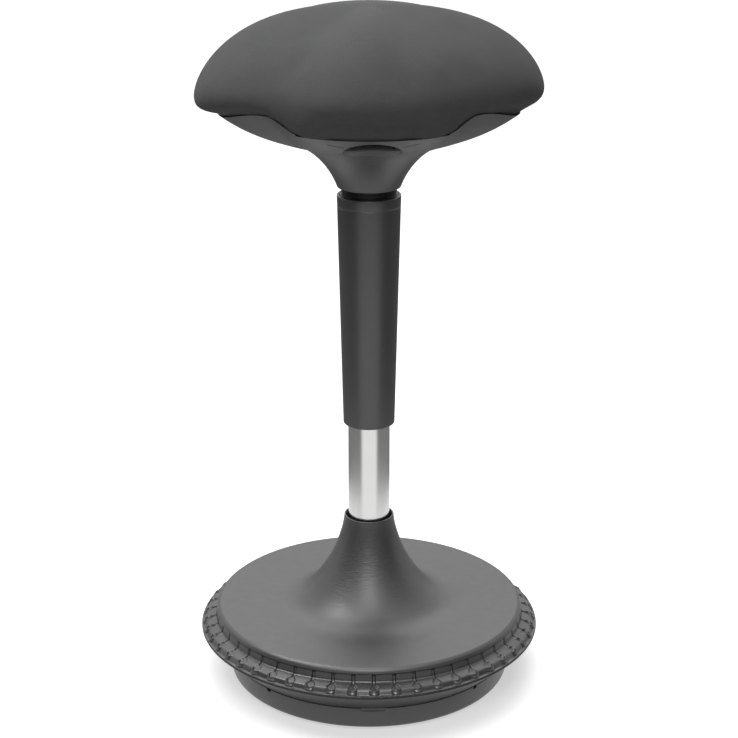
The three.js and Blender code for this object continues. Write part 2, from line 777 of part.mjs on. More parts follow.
// The shell's rim rises into the valleys, over a shorter way beside the front lobe
function rimRiseAt(angle) {
  const besideFront = -Math.sin(angle) > Math.SQRT1_2 + overrun / shellRimRadius;
  return shellValleyRise * valleyAt(angle) ** (besideFront ? frontValleyShare : 1);
}

// Seat shell: neck curve, then a dish that steepens as it rises to the wavy rim
function neckCurve(inset, steps) {
  const curve = new THREE.CubicBezierCurve(
    new THREE.Vector2(neckRadius - inset, neckBottom + neckRound),
    new THREE.Vector2(neckRadius + neckCurveLowOut - inset, neckBottom + neckCurveLowRise),
    new THREE.Vector2(neckRadius + neckCurveHighOut - inset / 2, neckBottom + neckCurveHighRise + inset),
    new THREE.Vector2(dishStartRadius, dishStartHeight + inset),
  );
  return curve.getPoints(steps).map((point) => [point.x, point.y]);
}
const dishShares = [1 / 3, 2 / 3, 1];
const dishClimb = (share) => share * (share + 2 * dishStartSlopeShare * (1 - share));
function shellSurface(angle, inset) {
  const valley = valleyAt(angle);
  const rimRadiusHere = (shellRimRadius - shellValleyInset * valley) * depthAt(angle) - inset;
  const rimHeightHere = shellRimHeight - fit + rimRiseAt(angle);
  const rise = dishShares.map((share) => [
    dishStartRadius + (rimRadiusHere - dishStartRadius) * share,
    dishStartHeight + inset + (rimHeightHere - dishStartHeight - inset) * dishClimb(share),
  ]);
  return { rise, rimRadiusHere, rimHeightHere };
}
const shellOutside = lofted((angle) => {
  const { rise, rimHeightHere } = shellSurface(angle, 0);
  return [
    [0, neckBottom], [neckRadius - neckRound, neckBottom], ...neckCurve(0, neckSteps), ...rise, [0, rimHeightHere],
  ];
}, seatSteps);
const shellInside = lofted((angle) => {
  const { rise, rimRadiusHere, rimHeightHere } = shellSurface(angle, shellWall);
  return [
    [0, neckBottom - overrun], [neckRadius - shellWall, neckBottom - overrun], ...neckCurve(shellWall, neckInnerSteps), ...rise,
    [rimRadiusHere, rimHeightHere + overrun], [0, shellRimHeight + shellValleyRise + overrun],
  ];
}, seatSteps);

// Finger scoop: a flattened ball pressed into the front of the dish, with the opening through its upper part
const frontRun = shellRimRadius * seatDepthShare - dishStartRadius;
const frontDishHeight = (radius) => dishStartHeight + dishRise * dishClimb((radius - dishStartRadius) / frontRun);
const scoopHeight = frontDishHeight(scoopCentre);
const scoopSlope = Math.atan2(
  frontDishHeight(scoopCentre + slitWidth) - frontDishHeight(scoopCentre - slitWidth), 2 * slitWidth,
);
function scoop(grow) {
  const ball = new THREE.SphereGeometry(1, 16, 8);
  ball.rotateX(Math.PI / 2);
  ball.scale(scoopWidth / 2 + grow, scoopLength / 2 / Math.cos(scoopSlope) + grow, scoopDepth + grow);
  ball.rotateX(-scoopSlope);
  ball.translate(0, -scoopCentre, scoopHeight);
  return ball;
}
const openingShape = new THREE.Shape();
openingShape.absellipse(
  0, -(openingNear + openingFar) / 2, openingWidth / 2, (openingFar - openingNear) / 2, 0, 2 * Math.PI, false, 0,
);
const fingerOpening = plateOf(openingShape, dishStartHeight - overrun, boardBottom, 10);

// Thin slit beside the opening, on each side
const slitHeight = frontDishHeight(slitPlace);
const slits = [-1, 1].map((side) => {
  const from = side * (scoopWidth / 2 - slitWidth);
  const to = side * (scoopWidth / 2 + slitLength);
  return block(
    Math.min(from, to), Math.max(from, to), -slitPlace - slitWidth / 2, -slitPlace + slitWidth / 2,
    slitHeight - scoopDepth, slitHeight + slitRise,
  );
});

// Bosses for the shell screws, bored from below
const shellScrewPlaces = onDiagonals(shellScrewCircle);
const shellBossTop = boardBottom - fit;
const bossSeat = shellBossTop - shellBossFloor;
const shellBosses = shellScrewPlaces.map(([x, y]) => post(shellBossRadius, dishStartHeight, shellBossTop, boltSteps, x, y));
let shell = toManifold(shellOutside).subtract(toManifold(scoop(0)));
shell = shell.subtract(toManifold(shellInside).subtract(toManifold(scoop(shellWall))));
for (const boss of shellBosses) {
  shell = shell.add(toManifold(boss).intersect(toManifold(shellOutside)));
}
const frontRecessHalf = (shellRimRadius * frontRecessWidthShare) / 2;
const frontRecess = block(
  -frontRecessHalf, frontRecessHalf, -shellRimRadius - overrun, -dishStartRadius,
  shellRimHeight - fit - frontRecessDepth, shellRimHeight + shellValleyRise,
);
const shellCutters = [
  fingerOpening, ...slits, frontRecess,
  ...screwHoles(shellScrewRadius + fit, dishStartHeight - overrun, boardBottom + overrun, shellScrewPlaces),
  ...screwHoles(shellScrewHeadRadius + fit, dishStartHeight - scoopDepth, bossSeat, shellScrewPlaces),
];
for (const cutter of shellCutters) shell = shell.subtract(toManifold(cutter));
add('seat_shell', toGeometry(shell), darkPlastic());

// Seat mechanism: tapered hub, folded bracket, plate and board
const plateBottom = boardBottom - plateThickness;
const hubBoreTop = taperTopRadius + taperFit;
const hubBoreBottom = cylinderRadius + taperFit;
add('taper_hub', turnedRing([
  [hubBoreBottom, hubSleeveBottom], [hubSleeveRadius, hubSleeveBottom], [hubSleeveRadius, bracketBottom],
  [hubBoreTop, bracketBottom],
], boreSteps), steel());
const bracketOutline = new THREE.Shape([
  [-bracketWidth / 2, bracketBottom], [bracketWidth / 2, bracketBottom], [bracketWidth / 2, plateBottom],
  [bracketWidth / 2 - bracketWall, plateBottom], [bracketWidth / 2 - bracketWall, bracketBottom + bracketWall],
  [-bracketWidth / 2 + bracketWall, bracketBottom + bracketWall], [-bracketWidth / 2 + bracketWall, plateBottom],
  [-bracketWidth / 2, plateBottom],
].map(([x, z]) => new THREE.Vector2(x, z)));
const bracketBody = plateOf(bracketOutline, 0, bracketFront + bracketBack, 1);
bracketBody.rotateX(Math.PI / 2);
bracketBody.translate(0, bracketBack, 0);
function crossPin(radius, halfLength, steps) {
  const pin = new THREE.CylinderGeometry(radius, radius, halfLength * 2, steps);
  pin.rotateZ(Math.PI / 2);
  pin.translate(0, -leverPivotForward, leverPivotHeight);
  return pin;
}
add('lever_bracket', cut(bracketBody, [
  crossPin(leverPivotRadius + fit, bracketWidth, pinSteps),
  post(hubBoreTop, bracketBottom - overrun, bracketBottom + bracketWall + overrun, boreSteps),
]), steel());
add('lever_pin', crossPin(leverPivotRadius, bracketWidth / 2 + bracketWall, pinSteps), steel());

const plateShape = new THREE.Shape();
const plateHalf = plateSide / 2;
plateShape.moveTo(-plateHalf + plateCorner, -plateHalf);
plateShape.lineTo(plateHalf - plateCorner, -plateHalf);
plateShape.absarc(plateHalf - plateCorner, -plateHalf + plateCorner, plateCorner, -Math.PI / 2, 0, false);
plateShape.absarc(plateHalf - plateCorner, plateHalf - plateCorner, plateCorner, 0, Math.PI / 2, false);
plateShape.absarc(-plateHalf + plateCorner, plateHalf - plateCorner, plateCorner, Math.PI / 2, Math.PI, false);
plateShape.absarc(-plateHalf + plateCorner, -plateHalf + plateCorner, plateCorner, Math.PI, Math.PI * 1.5, false);
const plateBoltPlaces = [[-1, -1], [1, -1], [1, 1], [-1, 1]].map(([x, y]) => [x * plateBoltPlace, y * plateBoltPlace]);
const plateBoltHoles = screwHoles(
  plateBoltRadius + fit, plateBottom - overrun, boardBottom + boardThickness + overrun, plateBoltPlaces,
);
add('mount_plate', cut(plateOf(plateShape, plateBottom, boardBottom, 2), plateBoltHoles), steel());
addFour('plate_bolt', () => headedBolt(
  plateBoltHeadRadius, plateBoltHeadHeight, plateBoltRadius, plateBottom - fit, plateBoltLength,
), plateBoltPlaces, steel);

const boardEdge = (angle) => (boardRadius - boardValleyInset * valleyAt(angle)) * depthAt(angle);
const boardBody = lofted((angle) => [
  [0, boardBottom], [boardEdge(angle), boardBottom], [boardEdge(angle), boardBottom + boardThickness],
  [0, boardBottom + boardThickness],
], seatSteps);
const shellScrewLength = shellBossFloor + boardThickness * shellScrewBiteShare;
add('seat_board', cut(boardBody, [
  ...plateBoltHoles,
  ...screwHoles(
    shellScrewRadius + fit, boardBottom - overrun, bossSeat + shellScrewLength + fit, shellScrewPlaces,
  ),
]), wood());
addFour('shell_screw', () => headedBolt(
  shellScrewHeadRadius, shellScrewHeadHeight, shellScrewRadius, bossSeat - fit, shellScrewLength,
), shellScrewPlaces, steel);

// Cushion: crown, lobes drawn in at the valleys, and a tucked edge over the shell's rim
function cushionSurface(angle, inset, rows, tuckRows) {
  const valley = valleyAt(angle);
  const widest = lobeHeight + valleyRise * valley;
  const top = crownHeight - inset;
  const edge = coverEdgeHeight + rimRiseAt(angle) + inset;
  const crown = Array.from({ length: rows + 1 }, (_, k) => {
    const rise = (1 - k / rows) * (Math.PI / 2);
    const pull = Math.cos(rise) ** 2;
    const radius = (lobeRadius - valleyInset * valley * pull) * depthAt(angle) - inset;
    return [
      radius * Math.abs(Math.cos(rise)) ** crownRoundShare,
      widest + (top - widest) * Math.sin(rise) ** crownFlatShare,
    ];
  });
  const sideRadius = crown[rows][0];
  const edgeRadius = (lobeRadius - valleyInset * valley) * depthAt(angle) - tuckInset * (1 - valley * (1 - valleyTuckShare));
  const tuck = Array.from({ length: tuckRows }, (_, k) => {
    const turn = ((k + 1) / tuckRows) * (Math.PI / 2);
    return [
      edgeRadius + (sideRadius - edgeRadius) * Math.cos(turn),
      widest - (widest - edge) * Math.sin(turn),
    ];
  });
  return { surface: [[0, top], ...crown.slice(1), ...tuck], edge };
}
const hemEdge = (angle) => boardEdge(angle) + hemGap;
add('seat_cover', lofted((angle) => {
  const outside = cushionSurface(angle, 0, crownRows, crownTuckRows);
  const inside = cushionSurface(angle, fabricThickness, foamRows, foamTuckRows);
  return [
    ...outside.surface, [hemEdge(angle), outside.edge], [hemEdge(angle), inside.edge],
    ...inside.surface.reverse(),
  ];
}, seatSteps), fabric());
add('seat_foam', lofted((angle) => {
  const outside = cushionSurface(angle, fabricThickness + fit, foamRows, foamTuckRows);
  const boardTop = boardBottom + boardThickness + fit;
  return [
    [0, boardTop], [boardEdge(angle) + fit, boardTop], [boardEdge(angle) + fit, outside.edge],
    ...outside.surface.reverse(),
  ];
}, seatSteps), foam());

// Release lever: nose on the valve button, eye on the pin, arm up and forward to the grip
const leverBottom = leverLevel - leverThickness / 2;
const leverTop = leverLevel + leverThickness / 2;
const noseBottom = buttonTop + fit;
const leverSide = new THREE.Shape([
  [-leverNose, noseBottom], [leverNose, noseBottom], [leverNose, noseBottom + leverNoseHeight],
  [-leverPivotForward, leverPivotHeight + leverEyeRadius], [-leverBend, leverTop], [-leverReach, leverTop],
  [-leverReach, leverBottom], [-leverBend, leverBottom], [-leverPivotForward, leverPivotHeight - leverEyeRadius],
].map(([y, z]) => new THREE.Vector2(y, z)));
const leverPlate = plateOf(leverSide, -leverWidth / 2, leverWidth / 2, 1);
leverPlate.applyMatrix4(new THREE.Matrix4().makeBasis(
  new THREE.Vector3(0, 1, 0), new THREE.Vector3(0, 0, 1), new THREE.Vector3(1, 0, 0),
));
const leverEye = crossPin(leverEyeRadius, leverWidth / 2, pinSteps);
const leverBore = crossPin(leverPivotRadius + runningFit, leverWidth, pinSteps);
add('release_lever', cut(join([leverPlate, leverEye]), [leverBore]), steel());

const gripShape = new THREE.Shape();
const gripHalf = gripWidth / 2;
gripShape.moveTo(-gripBackWidth / 2, -gripNear);
gripShape.lineTo(-gripHalf, -gripFar + gripCorner);
gripShape.absarc(-gripHalf + gripCorner, -gripFar + gripCorner, gripCorner, Math.PI, Math.PI * 1.5, false);
gripShape.absarc(gripHalf - gripCorner, -gripFar + gripCorner, gripCorner, Math.PI * 1.5, Math.PI * 2, false);
gripShape.lineTo(gripBackWidth / 2, -gripNear);
const gripPocket = block(
  -leverWidth / 2 - fit, leverWidth / 2 + fit, -leverReach - fit, -gripNear + overrun, leverBottom - fit, leverTop + fit,
);
add('lever_grip', cut(plateOf(
  gripShape, leverLevel - gripThickness / 2, leverLevel + gripThickness / 2, 2,
), [gripPocket]), blackPlastic());

add('release_pin', post(buttonRadius, buttonTop - buttonLength, buttonTop, boreSteps), steel());

export default stool;
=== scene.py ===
# %% [markdown]
# # Wobble stool
# This lesson dresses a finished CAD model of a wobble stool. The CAD holds every piece in its real
# place, in metres, so nothing here is fitted by eye. Each visible moulding is made again with a finer
# surface from the same sizes, and every piece gets a finish that is worked out from its position.

# %% The frame from the CAD
import json
import math

import bmesh
import bpy
import numpy as np
from mathutils import Matrix, Vector


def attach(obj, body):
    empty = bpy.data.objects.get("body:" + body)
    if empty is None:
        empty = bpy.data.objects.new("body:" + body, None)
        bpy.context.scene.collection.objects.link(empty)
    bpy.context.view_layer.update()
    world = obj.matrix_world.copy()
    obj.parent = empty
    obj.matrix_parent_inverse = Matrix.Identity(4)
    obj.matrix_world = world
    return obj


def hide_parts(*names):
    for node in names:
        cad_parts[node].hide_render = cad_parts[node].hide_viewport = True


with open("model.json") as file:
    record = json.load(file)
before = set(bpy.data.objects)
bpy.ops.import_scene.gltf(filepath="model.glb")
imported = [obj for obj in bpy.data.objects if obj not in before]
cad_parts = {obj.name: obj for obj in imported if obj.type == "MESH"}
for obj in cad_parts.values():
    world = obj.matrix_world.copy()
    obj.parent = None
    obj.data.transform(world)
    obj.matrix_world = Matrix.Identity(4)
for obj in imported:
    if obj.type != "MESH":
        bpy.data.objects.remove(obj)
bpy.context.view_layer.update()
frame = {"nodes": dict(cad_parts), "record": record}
nodes = frame["nodes"]
mm = 0.001

# %% [markdown]
# ## Camera
# The photograph was taken from a little over two metres, above the seat and looking down 19 degrees.
# These numbers come from fitting the circles of the tube, the disc and the rim to the picture, so they
# are typed in rather than found by moving the camera about.

# %% Camera
camera_distance = 2.152
camera_height = 1.1454
camera_pitch = math.radians(19.28)
camera_turn = math.radians(1.7)
camera_data = bpy.data.cameras.new("camera")
camera_data.sensor_width = 36.0
camera_data.lens = 1912.8 / 738 * 36.0
camera_data.clip_end = 50.0
camera = bpy.data.objects.new("camera", camera_data)
bpy.context.scene.collection.objects.link(camera)
camera.location = (
    -camera_distance * math.sin(camera_turn),
    -camera_distance * math.cos(camera_turn),
    camera_height,
)
camera.rotation_euler = (math.pi / 2 - camera_pitch, 0.0, -camera_turn)
bpy.context.scene.camera = camera
bpy.context.scene.view_settings.view_transform = "Standard"
print("camera at", [round(v, 3) for v in camera.location])

# %% [markdown]
# ## Floor and light
# A plain white floor lies under the stool and meets a white surround, as in a product studio. Four
# soft lamps light the stool: a large one overhead, one behind, one high in front and one at the left.
# They alone would leave black plastic nearly black, because it owes most of its brightness to what it
# mirrors. So the surround is white behind and above for whatever mirrors it, and dark on the camera's
# side, as the room round a studio is. Light Path tells the two kinds of ray apart, and no strength is
# over 1, so the white paper looks white. It adds no light of its own to diffuse surfaces, but mirrored
# rays see it glow: a painted reflection in the plastic.

# %% Floor and surround
def node_tree(owner):
    owner.use_nodes = True
    owner.node_tree.nodes.clear()
    return owner.node_tree


def add_node(tree, kind, **settings):
    node = tree.nodes.new(kind)
    for key, value in settings.items():
        if key in node.inputs:
            node.inputs[key].default_value = value
        else:
            setattr(node, key, value)
    return node


def link(tree, source, target):
    tree.links.new(source, target)


def calculate(tree, operation, first, second=0.0):
    """One sum on two numbers or node outputs."""
    node = add_node(tree, "ShaderNodeMath", operation=operation)
    for socket, value in zip(node.inputs, (first, second)):
        if isinstance(value, (int, float)):
            socket.default_value = value
        else:
            link(tree, value, socket)
    return node.outputs[0]


def soft_range(tree, value, start, end, low, high):
    """Runs softly from low to high while the value goes from start to end."""
    node = add_node(tree, "ShaderNodeMapRange", interpolation_type="SMOOTHSTEP")
    for socket, number in (("From Min", start), ("From Max", end), ("To Min", low), ("To Max", high)):
        node.inputs[socket].default_value = number
    link(tree, value, node.inputs["Value"])
    return node.outputs[0]


def ray_kinds(tree):
    """1 for a ray from the camera, and 1 for a ray that a shiny surface or a glass sends out."""
    path = add_node(tree, "ShaderNodeLightPath")
    mirrored = calculate(tree, "MAXIMUM", path.outputs["Is Glossy Ray"], path.outputs["Is Transmission Ray"])
    return path.outputs["Is Camera Ray"], mirrored


def spread(tree, vector):
    parts = add_node(tree, "ShaderNodeSeparateXYZ")
    link(tree, vector, parts.inputs[0])
    return parts.outputs


world = bpy.data.worlds.new("studio")
bpy.context.scene.world = world
tree = node_tree(world)
camera_ray, mirrored = ray_kinds(tree)
direction = spread(tree, add_node(tree, "ShaderNodeTexCoord").outputs["Generated"])
backdrop = soft_range(tree, direction[1], -0.12, 0.12, 0.1, 1.0)
ceiling = soft_range(tree, direction[2], 0.4, 0.6, 0.0, 1.0)
ambient = add_node(tree, "ShaderNodeBackground", Color=(1, 1, 1, 1), Strength=0.03)
studio = add_node(tree, "ShaderNodeBackground", Color=(1, 1, 1, 1))
room = calculate(tree, "MAXIMUM", backdrop, ceiling)
link(tree, calculate(tree, "MAXIMUM", camera_ray, room), studio.inputs["Strength"])
either = add_node(tree, "ShaderNodeMixShader")
out = add_node(tree, "ShaderNodeOutputWorld")
link(tree, calculate(tree, "MAXIMUM", camera_ray, mirrored), either.inputs[0])
link(tree, ambient.outputs[0], either.inputs[1])
link(tree, studio.outputs[0], either.inputs[2])
link(tree, either.outputs[0], out.inputs[0])
print("studio: white behind and above, dark on the camera's side")

# %% [markdown]
# The floor could be a plain white plane, but what the camera sees of it and what the plastic mirrors
# differ here. For mirrored rays the floor glows white within half a metre of the column and in front of
# it out to about two metres, and only dimly at the sides and far off: a painted reflection. For the
# camera it glows white, but dimmer close to the foot: a painted shadow round the foot. Soft ranges over
# the distance from the column and the direction from it set both glows. The lamps fall on it as well,
# which adds the object's own shadow round its foot.

# %% Floor
floor_material = bpy.data.materials.new("white_floor")
tree = node_tree(floor_material)
camera_ray, mirrored = ray_kinds(tree)
place = spread(tree, add_node(tree, "ShaderNodeNewGeometry").outputs["Position"])
across = calculate(tree, "MULTIPLY", place[0], place[0])
along = calculate(tree, "MULTIPLY", place[1], place[1])
distance = calculate(tree, "SQRT", calculate(tree, "ADD", across, along))
ahead = calculate(tree, "DIVIDE", place[1], distance)
# painted reflection: mirrored rays see the floor glow white near the column and in front of it, and only dimly at the
# sides and far off
near = soft_range(tree, distance, 0.5, 0.7, 1.0, 0.0)
in_front = soft_range(tree, ahead, -0.84, -0.64, 1.0, 0.22)
within = soft_range(tree, distance, 2.2, 3.0, 1.0, 0.13)
painted_reflection_white = calculate(tree, "MAXIMUM", near, calculate(tree, "MULTIPLY", in_front, within))
# painted shadow: the camera sees the floor's glow at 0.56 close to the foot, rising to full white from 0.25 m out
white_with_painted_shadow = soft_range(tree, distance, 0.172, 0.25, 0.56, 1.0)
matt = add_node(tree, "ShaderNodeBsdfDiffuse", Color=(0.5, 0.5, 0.5, 1))
lit = add_node(tree, "ShaderNodeBsdfDiffuse", Color=(0.5, 0.5, 0.5, 1))
glow = add_node(tree, "ShaderNodeEmission", Color=(1, 1, 1, 1))
link(tree, white_with_painted_shadow, glow.inputs["Strength"])
bright = add_node(tree, "ShaderNodeEmission", Color=(1, 1, 1, 1))
link(tree, painted_reflection_white, bright.inputs["Strength"])
seen = add_node(tree, "ShaderNodeAddShader")
link(tree, lit.outputs[0], seen.inputs[0])
link(tree, glow.outputs[0], seen.inputs[1])
first = add_node(tree, "ShaderNodeMixShader")
link(tree, mirrored, first.inputs[0])
link(tree, matt.outputs[0], first.inputs[1])
link(tree, bright.outputs[0], first.inputs[2])
second = add_node(tree, "ShaderNodeMixShader")
link(tree, camera_ray, second.inputs[0])
link(tree, first.outputs[0], second.inputs[1])
link(tree, seen.outputs[0], second.inputs[2])
out = add_node(tree, "ShaderNodeOutputMaterial")
link(tree, second.outputs[0], out.inputs[0])

bpy.ops.mesh.primitive_plane_add(size=24.0, location=(0, 4.0, 0))
floor = bpy.context.object
floor.name = "floor"
floor.data.materials.append(floor_material)
print("floor laid, side", round(floor.dimensions.x, 1), "m")

# %% Lamps
def soft_lamp(name, place, target, width, height, power):
    data = bpy.data.lights.new(name, "AREA")
    data.shape = "RECTANGLE"
    data.size, data.size_y, data.energy = width, height, power
    lamp = bpy.data.objects.new(name, data)
    bpy.context.scene.collection.objects.link(lamp)
    lamp.location = place
    lamp.rotation_euler = (Vector(target) - Vector(place)).to_track_quat("-Z", "Y").to_euler()
    return lamp


soft_lamp("top_lamp", (-0.3, 0.1, 4.0), (0, 0, 0.3), 2.8, 2.8, 62)
soft_lamp("back_lamp", (0.0, 2.0, 2.6), (0, 0, 0.3), 3.0, 2.0, 25)
soft_lamp("front_lamp", (-0.1, -2.4, 2.3), (0, 0, 0.4), 1.2, 0.8, 32)
soft_lamp("left_lamp", (-1.6, -0.2, 2.6), (0, 0, 0.4), 1.0, 1.0, 26)
print("four soft lamps")

# %% [markdown]
# ## Finishes
# Every surface gets a finish from the same few building blocks. Position in the object picks the grain,
# because no unwrapping is needed and the grain keeps its real scale. A bump stands for relief that is too
# fine to model: the spark-eroded grain of the mouldings, the turning rings on the bell, the weave.

# %% Building blocks for the finishes
def new_finish(name, color, roughness, metallic=0.0, sheen=0.0, specular=0.5, coat=0.0):
    material = bpy.data.materials.new(name)
    tree = node_tree(material)
    shader = add_node(tree, "ShaderNodeBsdfPrincipled", Roughness=roughness, Metallic=metallic)
    shader.inputs["Base Color"].default_value = (*color, 1.0)
    shader.inputs["Sheen Weight"].default_value = sheen
    shader.inputs["Sheen Roughness"].default_value = 0.5
    shader.inputs["Specular IOR Level"].default_value = specular
    shader.inputs["Coat Weight"].default_value = coat
    out = add_node(tree, "ShaderNodeOutputMaterial")
    link(tree, shader.outputs[0], out.inputs[0])
    place = add_node(tree, "ShaderNodeTexCoord")
    material.diffuse_color = (*color, 1.0)
    return material, tree, shader, place.outputs["Object"]


def noise(tree, vector, scale, detail=3.0, rough=0.55):
    node = add_node(tree, "ShaderNodeTexNoise", Scale=scale, Detail=detail, Roughness=rough)
    link(tree, vector, node.inputs["Vector"])
    return node.outputs[0]


def to_range(tree, value, low, high):
    node = add_node(tree, "ShaderNodeMapRange")
    node.inputs["To Min"].default_value = low
    node.inputs["To Max"].default_value = high
    link(tree, value, node.inputs["Value"])
    return node.outputs["Result"]


def vary_color(tree, shader, value, dark_color, light_color):
    mix = add_node(tree, "ShaderNodeMix", data_type="RGBA")
    mix.inputs[6].default_value = (*dark_color, 1.0)
    mix.inputs[7].default_value = (*light_color, 1.0)
    link(tree, value, mix.inputs[0])
    link(tree, mix.outputs[2], shader.inputs["Base Color"])


def bump(tree, shader, height, distance, strength=1.0, below=None):
    node = add_node(tree, "ShaderNodeBump", Distance=distance, Strength=strength)
    link(tree, height, node.inputs["Height"])
    if below is not None:
        link(tree, below, node.inputs["Normal"])
    link(tree, node.outputs[0], shader.inputs["Normal"])
    return node.outputs[0]


def shade(color, factor):
    return tuple(c * factor for c in color)


print("building blocks ready")

# %% Moulded plastics
def moulded(name, color, roughness, grain=0.00006, grain_scale=2600.0, variation=0.12, specular=0.25):
    material, tree, shader, place = new_finish(name, color, roughness, specular=specular)
    cloud = noise(tree, place, 38.0, 4.0)
    vary_color(tree, shader, cloud, shade(color, 1 - variation), shade(color, 1 + variation))
    patch = noise(tree, place, 90.0, 3.0)
    link(tree, to_range(tree, patch, roughness - 0.05, roughness + 0.07), shader.inputs["Roughness"])
    fine = noise(tree, place, grain_scale, 2.0)
    bump(tree, shader, fine, grain)
    return material, tree, shader, place, fine


shell_finish = moulded("shell_plastic", (0.075, 0.075, 0.0765), 0.46, specular=1.0)[0]
sleeve_finish = moulded("sleeve_plastic", (0.044, 0.044, 0.045), 0.34, variation=0.08, specular=1.0)[0]
foot_finish = moulded("foot_plastic", (0.095, 0.095, 0.0967), 0.42, specular=0.6)[0]
band_finish = moulded("band_plastic", (0.036, 0.036, 0.037), 0.44, specular=0.24)[0]
black_finish = moulded("black_plastic", (0.012, 0.012, 0.012), 0.36, variation=0.05)[0]
rubber_finish = moulded("ring_rubber", (0.035, 0.035, 0.0355), 0.3, grain=0.00004, variation=0.1, specular=0.9)[0]
pad_finish = moulded("pad_rubber", (0.03, 0.03, 0.031), 0.7, grain=0.0001, grain_scale=1400.0)[0]
print("moulded plastics and rubber")

# %% [markdown]
# The bell has fine rings round the column, as if its tool had been turned, strongest on the flare and
# almost gone on the flat disc. The rings come from noise that is read by radius and, much more slowly,
# by direction, so that each ring breaks up along its way instead of closing into a perfect circle.

# %% Bell plastic with turning rings
bell_color = (0.028, 0.028, 0.0286)
bell_finish, tree, shader, place, fine = moulded("bell_plastic", bell_color, 0.43, variation=0.09, specular=1.0)
parts = add_node(tree, "ShaderNodeSeparateXYZ")
link(tree, place, parts.inputs[0])
flat = add_node(tree, "ShaderNodeCombineXYZ")
link(tree, parts.outputs[0], flat.inputs[0])
link(tree, parts.outputs[1], flat.inputs[1])
radius = add_node(tree, "ShaderNodeVectorMath", operation="LENGTH")
link(tree, flat.outputs[0], radius.inputs[0])
around = add_node(tree, "ShaderNodeVectorMath", operation="NORMALIZE")
link(tree, flat.outputs[0], around.inputs[0])
stretch = add_node(tree, "ShaderNodeVectorMath", operation="SCALE")
stretch.inputs["Scale"].default_value = 0.010
link(tree, around.outputs[0], stretch.inputs[0])
height_share = add_node(tree, "ShaderNodeMath", operation="MULTIPLY")
height_share.inputs[1].default_value = 0.8
link(tree, parts.outputs[2], height_share.inputs[0])
ring_key = add_node(tree, "ShaderNodeMath", operation="SUBTRACT")
link(tree, radius.outputs["Value"], ring_key.inputs[0])
link(tree, height_share.outputs[0], ring_key.inputs[1])
lanes = add_node(tree, "ShaderNodeCombineXYZ")
link(tree, ring_key.outputs[0], lanes.inputs[2])
lane_place = add_node(tree, "ShaderNodeVectorMath", operation="ADD")
link(tree, stretch.outputs[0], lane_place.inputs[0])
link(tree, lanes.outputs[0], lane_place.inputs[1])
rings = noise(tree, lane_place.outputs[0], 520.0, 3.0, 0.65)
fade = add_node(tree, "ShaderNodeMapRange")
for socket, value in (("From Min", 0.05), ("From Max", 0.12), ("To Min", 1.0), ("To Max", 0.12)):
    fade.inputs[socket].default_value = value
link(tree, radius.outputs["Value"], fade.inputs["Value"])
ring_height = add_node(tree, "ShaderNodeMath", operation="MULTIPLY")
link(tree, rings, ring_height.inputs[0])
link(tree, fade.outputs[0], ring_height.inputs[1])
shader.inputs["Coat Weight"].default_value = 0.15
shader.inputs["Coat Roughness"].default_value = 0.35
grain_normal = shader.inputs["Normal"].links[0].from_node
bump(tree, shader, ring_height.outputs[0], 0.0007, 0.55, below=grain_normal.outputs[0])
print("bell finish with rings")

# %% [markdown]
# The tube is satin chrome. Chrome shows little colour of its own and mirrors the studio, so its look is
# mostly its roughness. Drawing lines run up the tube: noise stretched along the height, in the bump.

# %% Metals
chrome_finish, tree, shader, place = new_finish("satin_chrome", (0.76, 0.76, 0.755), 0.2, metallic=1.0)
squeeze = add_node(tree, "ShaderNodeMapping")
squeeze.inputs["Scale"].default_value = (1.0, 1.0, 0.02)
link(tree, place, squeeze.inputs["Vector"])
lines = noise(tree, squeeze.outputs[0], 1500.0, 3.0)
link(tree, to_range(tree, lines, 0.16, 0.28), shader.inputs["Roughness"])
bump(tree, shader, lines, 0.00002, 0.5)
smear = noise(tree, place, 30.0, 3.0)
vary_color(tree, shader, smear, (0.71, 0.71, 0.705), (0.8, 0.8, 0.795))


def metal(name, color, roughness, scale, depth, metallic=1.0):
    material, tree, shader, place = new_finish(name, color, roughness, metallic=metallic)
    cloud = noise(tree, place, scale / 12, 4.0)
    vary_color(tree, shader, cloud, shade(color, 0.8), shade(color, 1.15))
    grain = noise(tree, place, scale, 4.0)
    link(tree, to_range(tree, grain, roughness - 0.1, roughness + 0.12), shader.inputs["Roughness"])
    bump(tree, shader, grain, depth)
    return material


steel_finish = metal("zinc_steel", (0.42, 0.43, 0.45), 0.35, 900.0, 0.00003)
iron_finish = metal("cast_iron", (0.09, 0.09, 0.095), 0.62, 500.0, 0.0004, metallic=0.7)
paint_finish = metal("satin_black_paint", (0.018, 0.018, 0.018), 0.4, 1500.0, 0.00004, metallic=0.0)
print("metals")

# %% [markdown]
# The seat is covered in a stretch fabric with a fine even weave. At this distance it reads as a soft
# grey with a faint grain, lighter where light grazes the fibres, so the finish has a small sheen, a
# slow cloudiness, and the threads as relief. The threads are crossed waves a millimetre and a half
# apart, laid over the crown from above and down the sides from the front and the side.

# %% Fabric
fabric_color = (0.063, 0.063, 0.0643)
fabric_finish, tree, shader, place = new_finish("stretch_fabric", fabric_color, 0.88, sheen=0.02, specular=0.45)
parts = add_node(tree, "ShaderNodeSeparateXYZ")
link(tree, place, parts.inputs[0])
geometry = add_node(tree, "ShaderNodeNewGeometry")
facing = add_node(tree, "ShaderNodeSeparateXYZ")
link(tree, geometry.outputs["Normal"], facing.inputs[0])


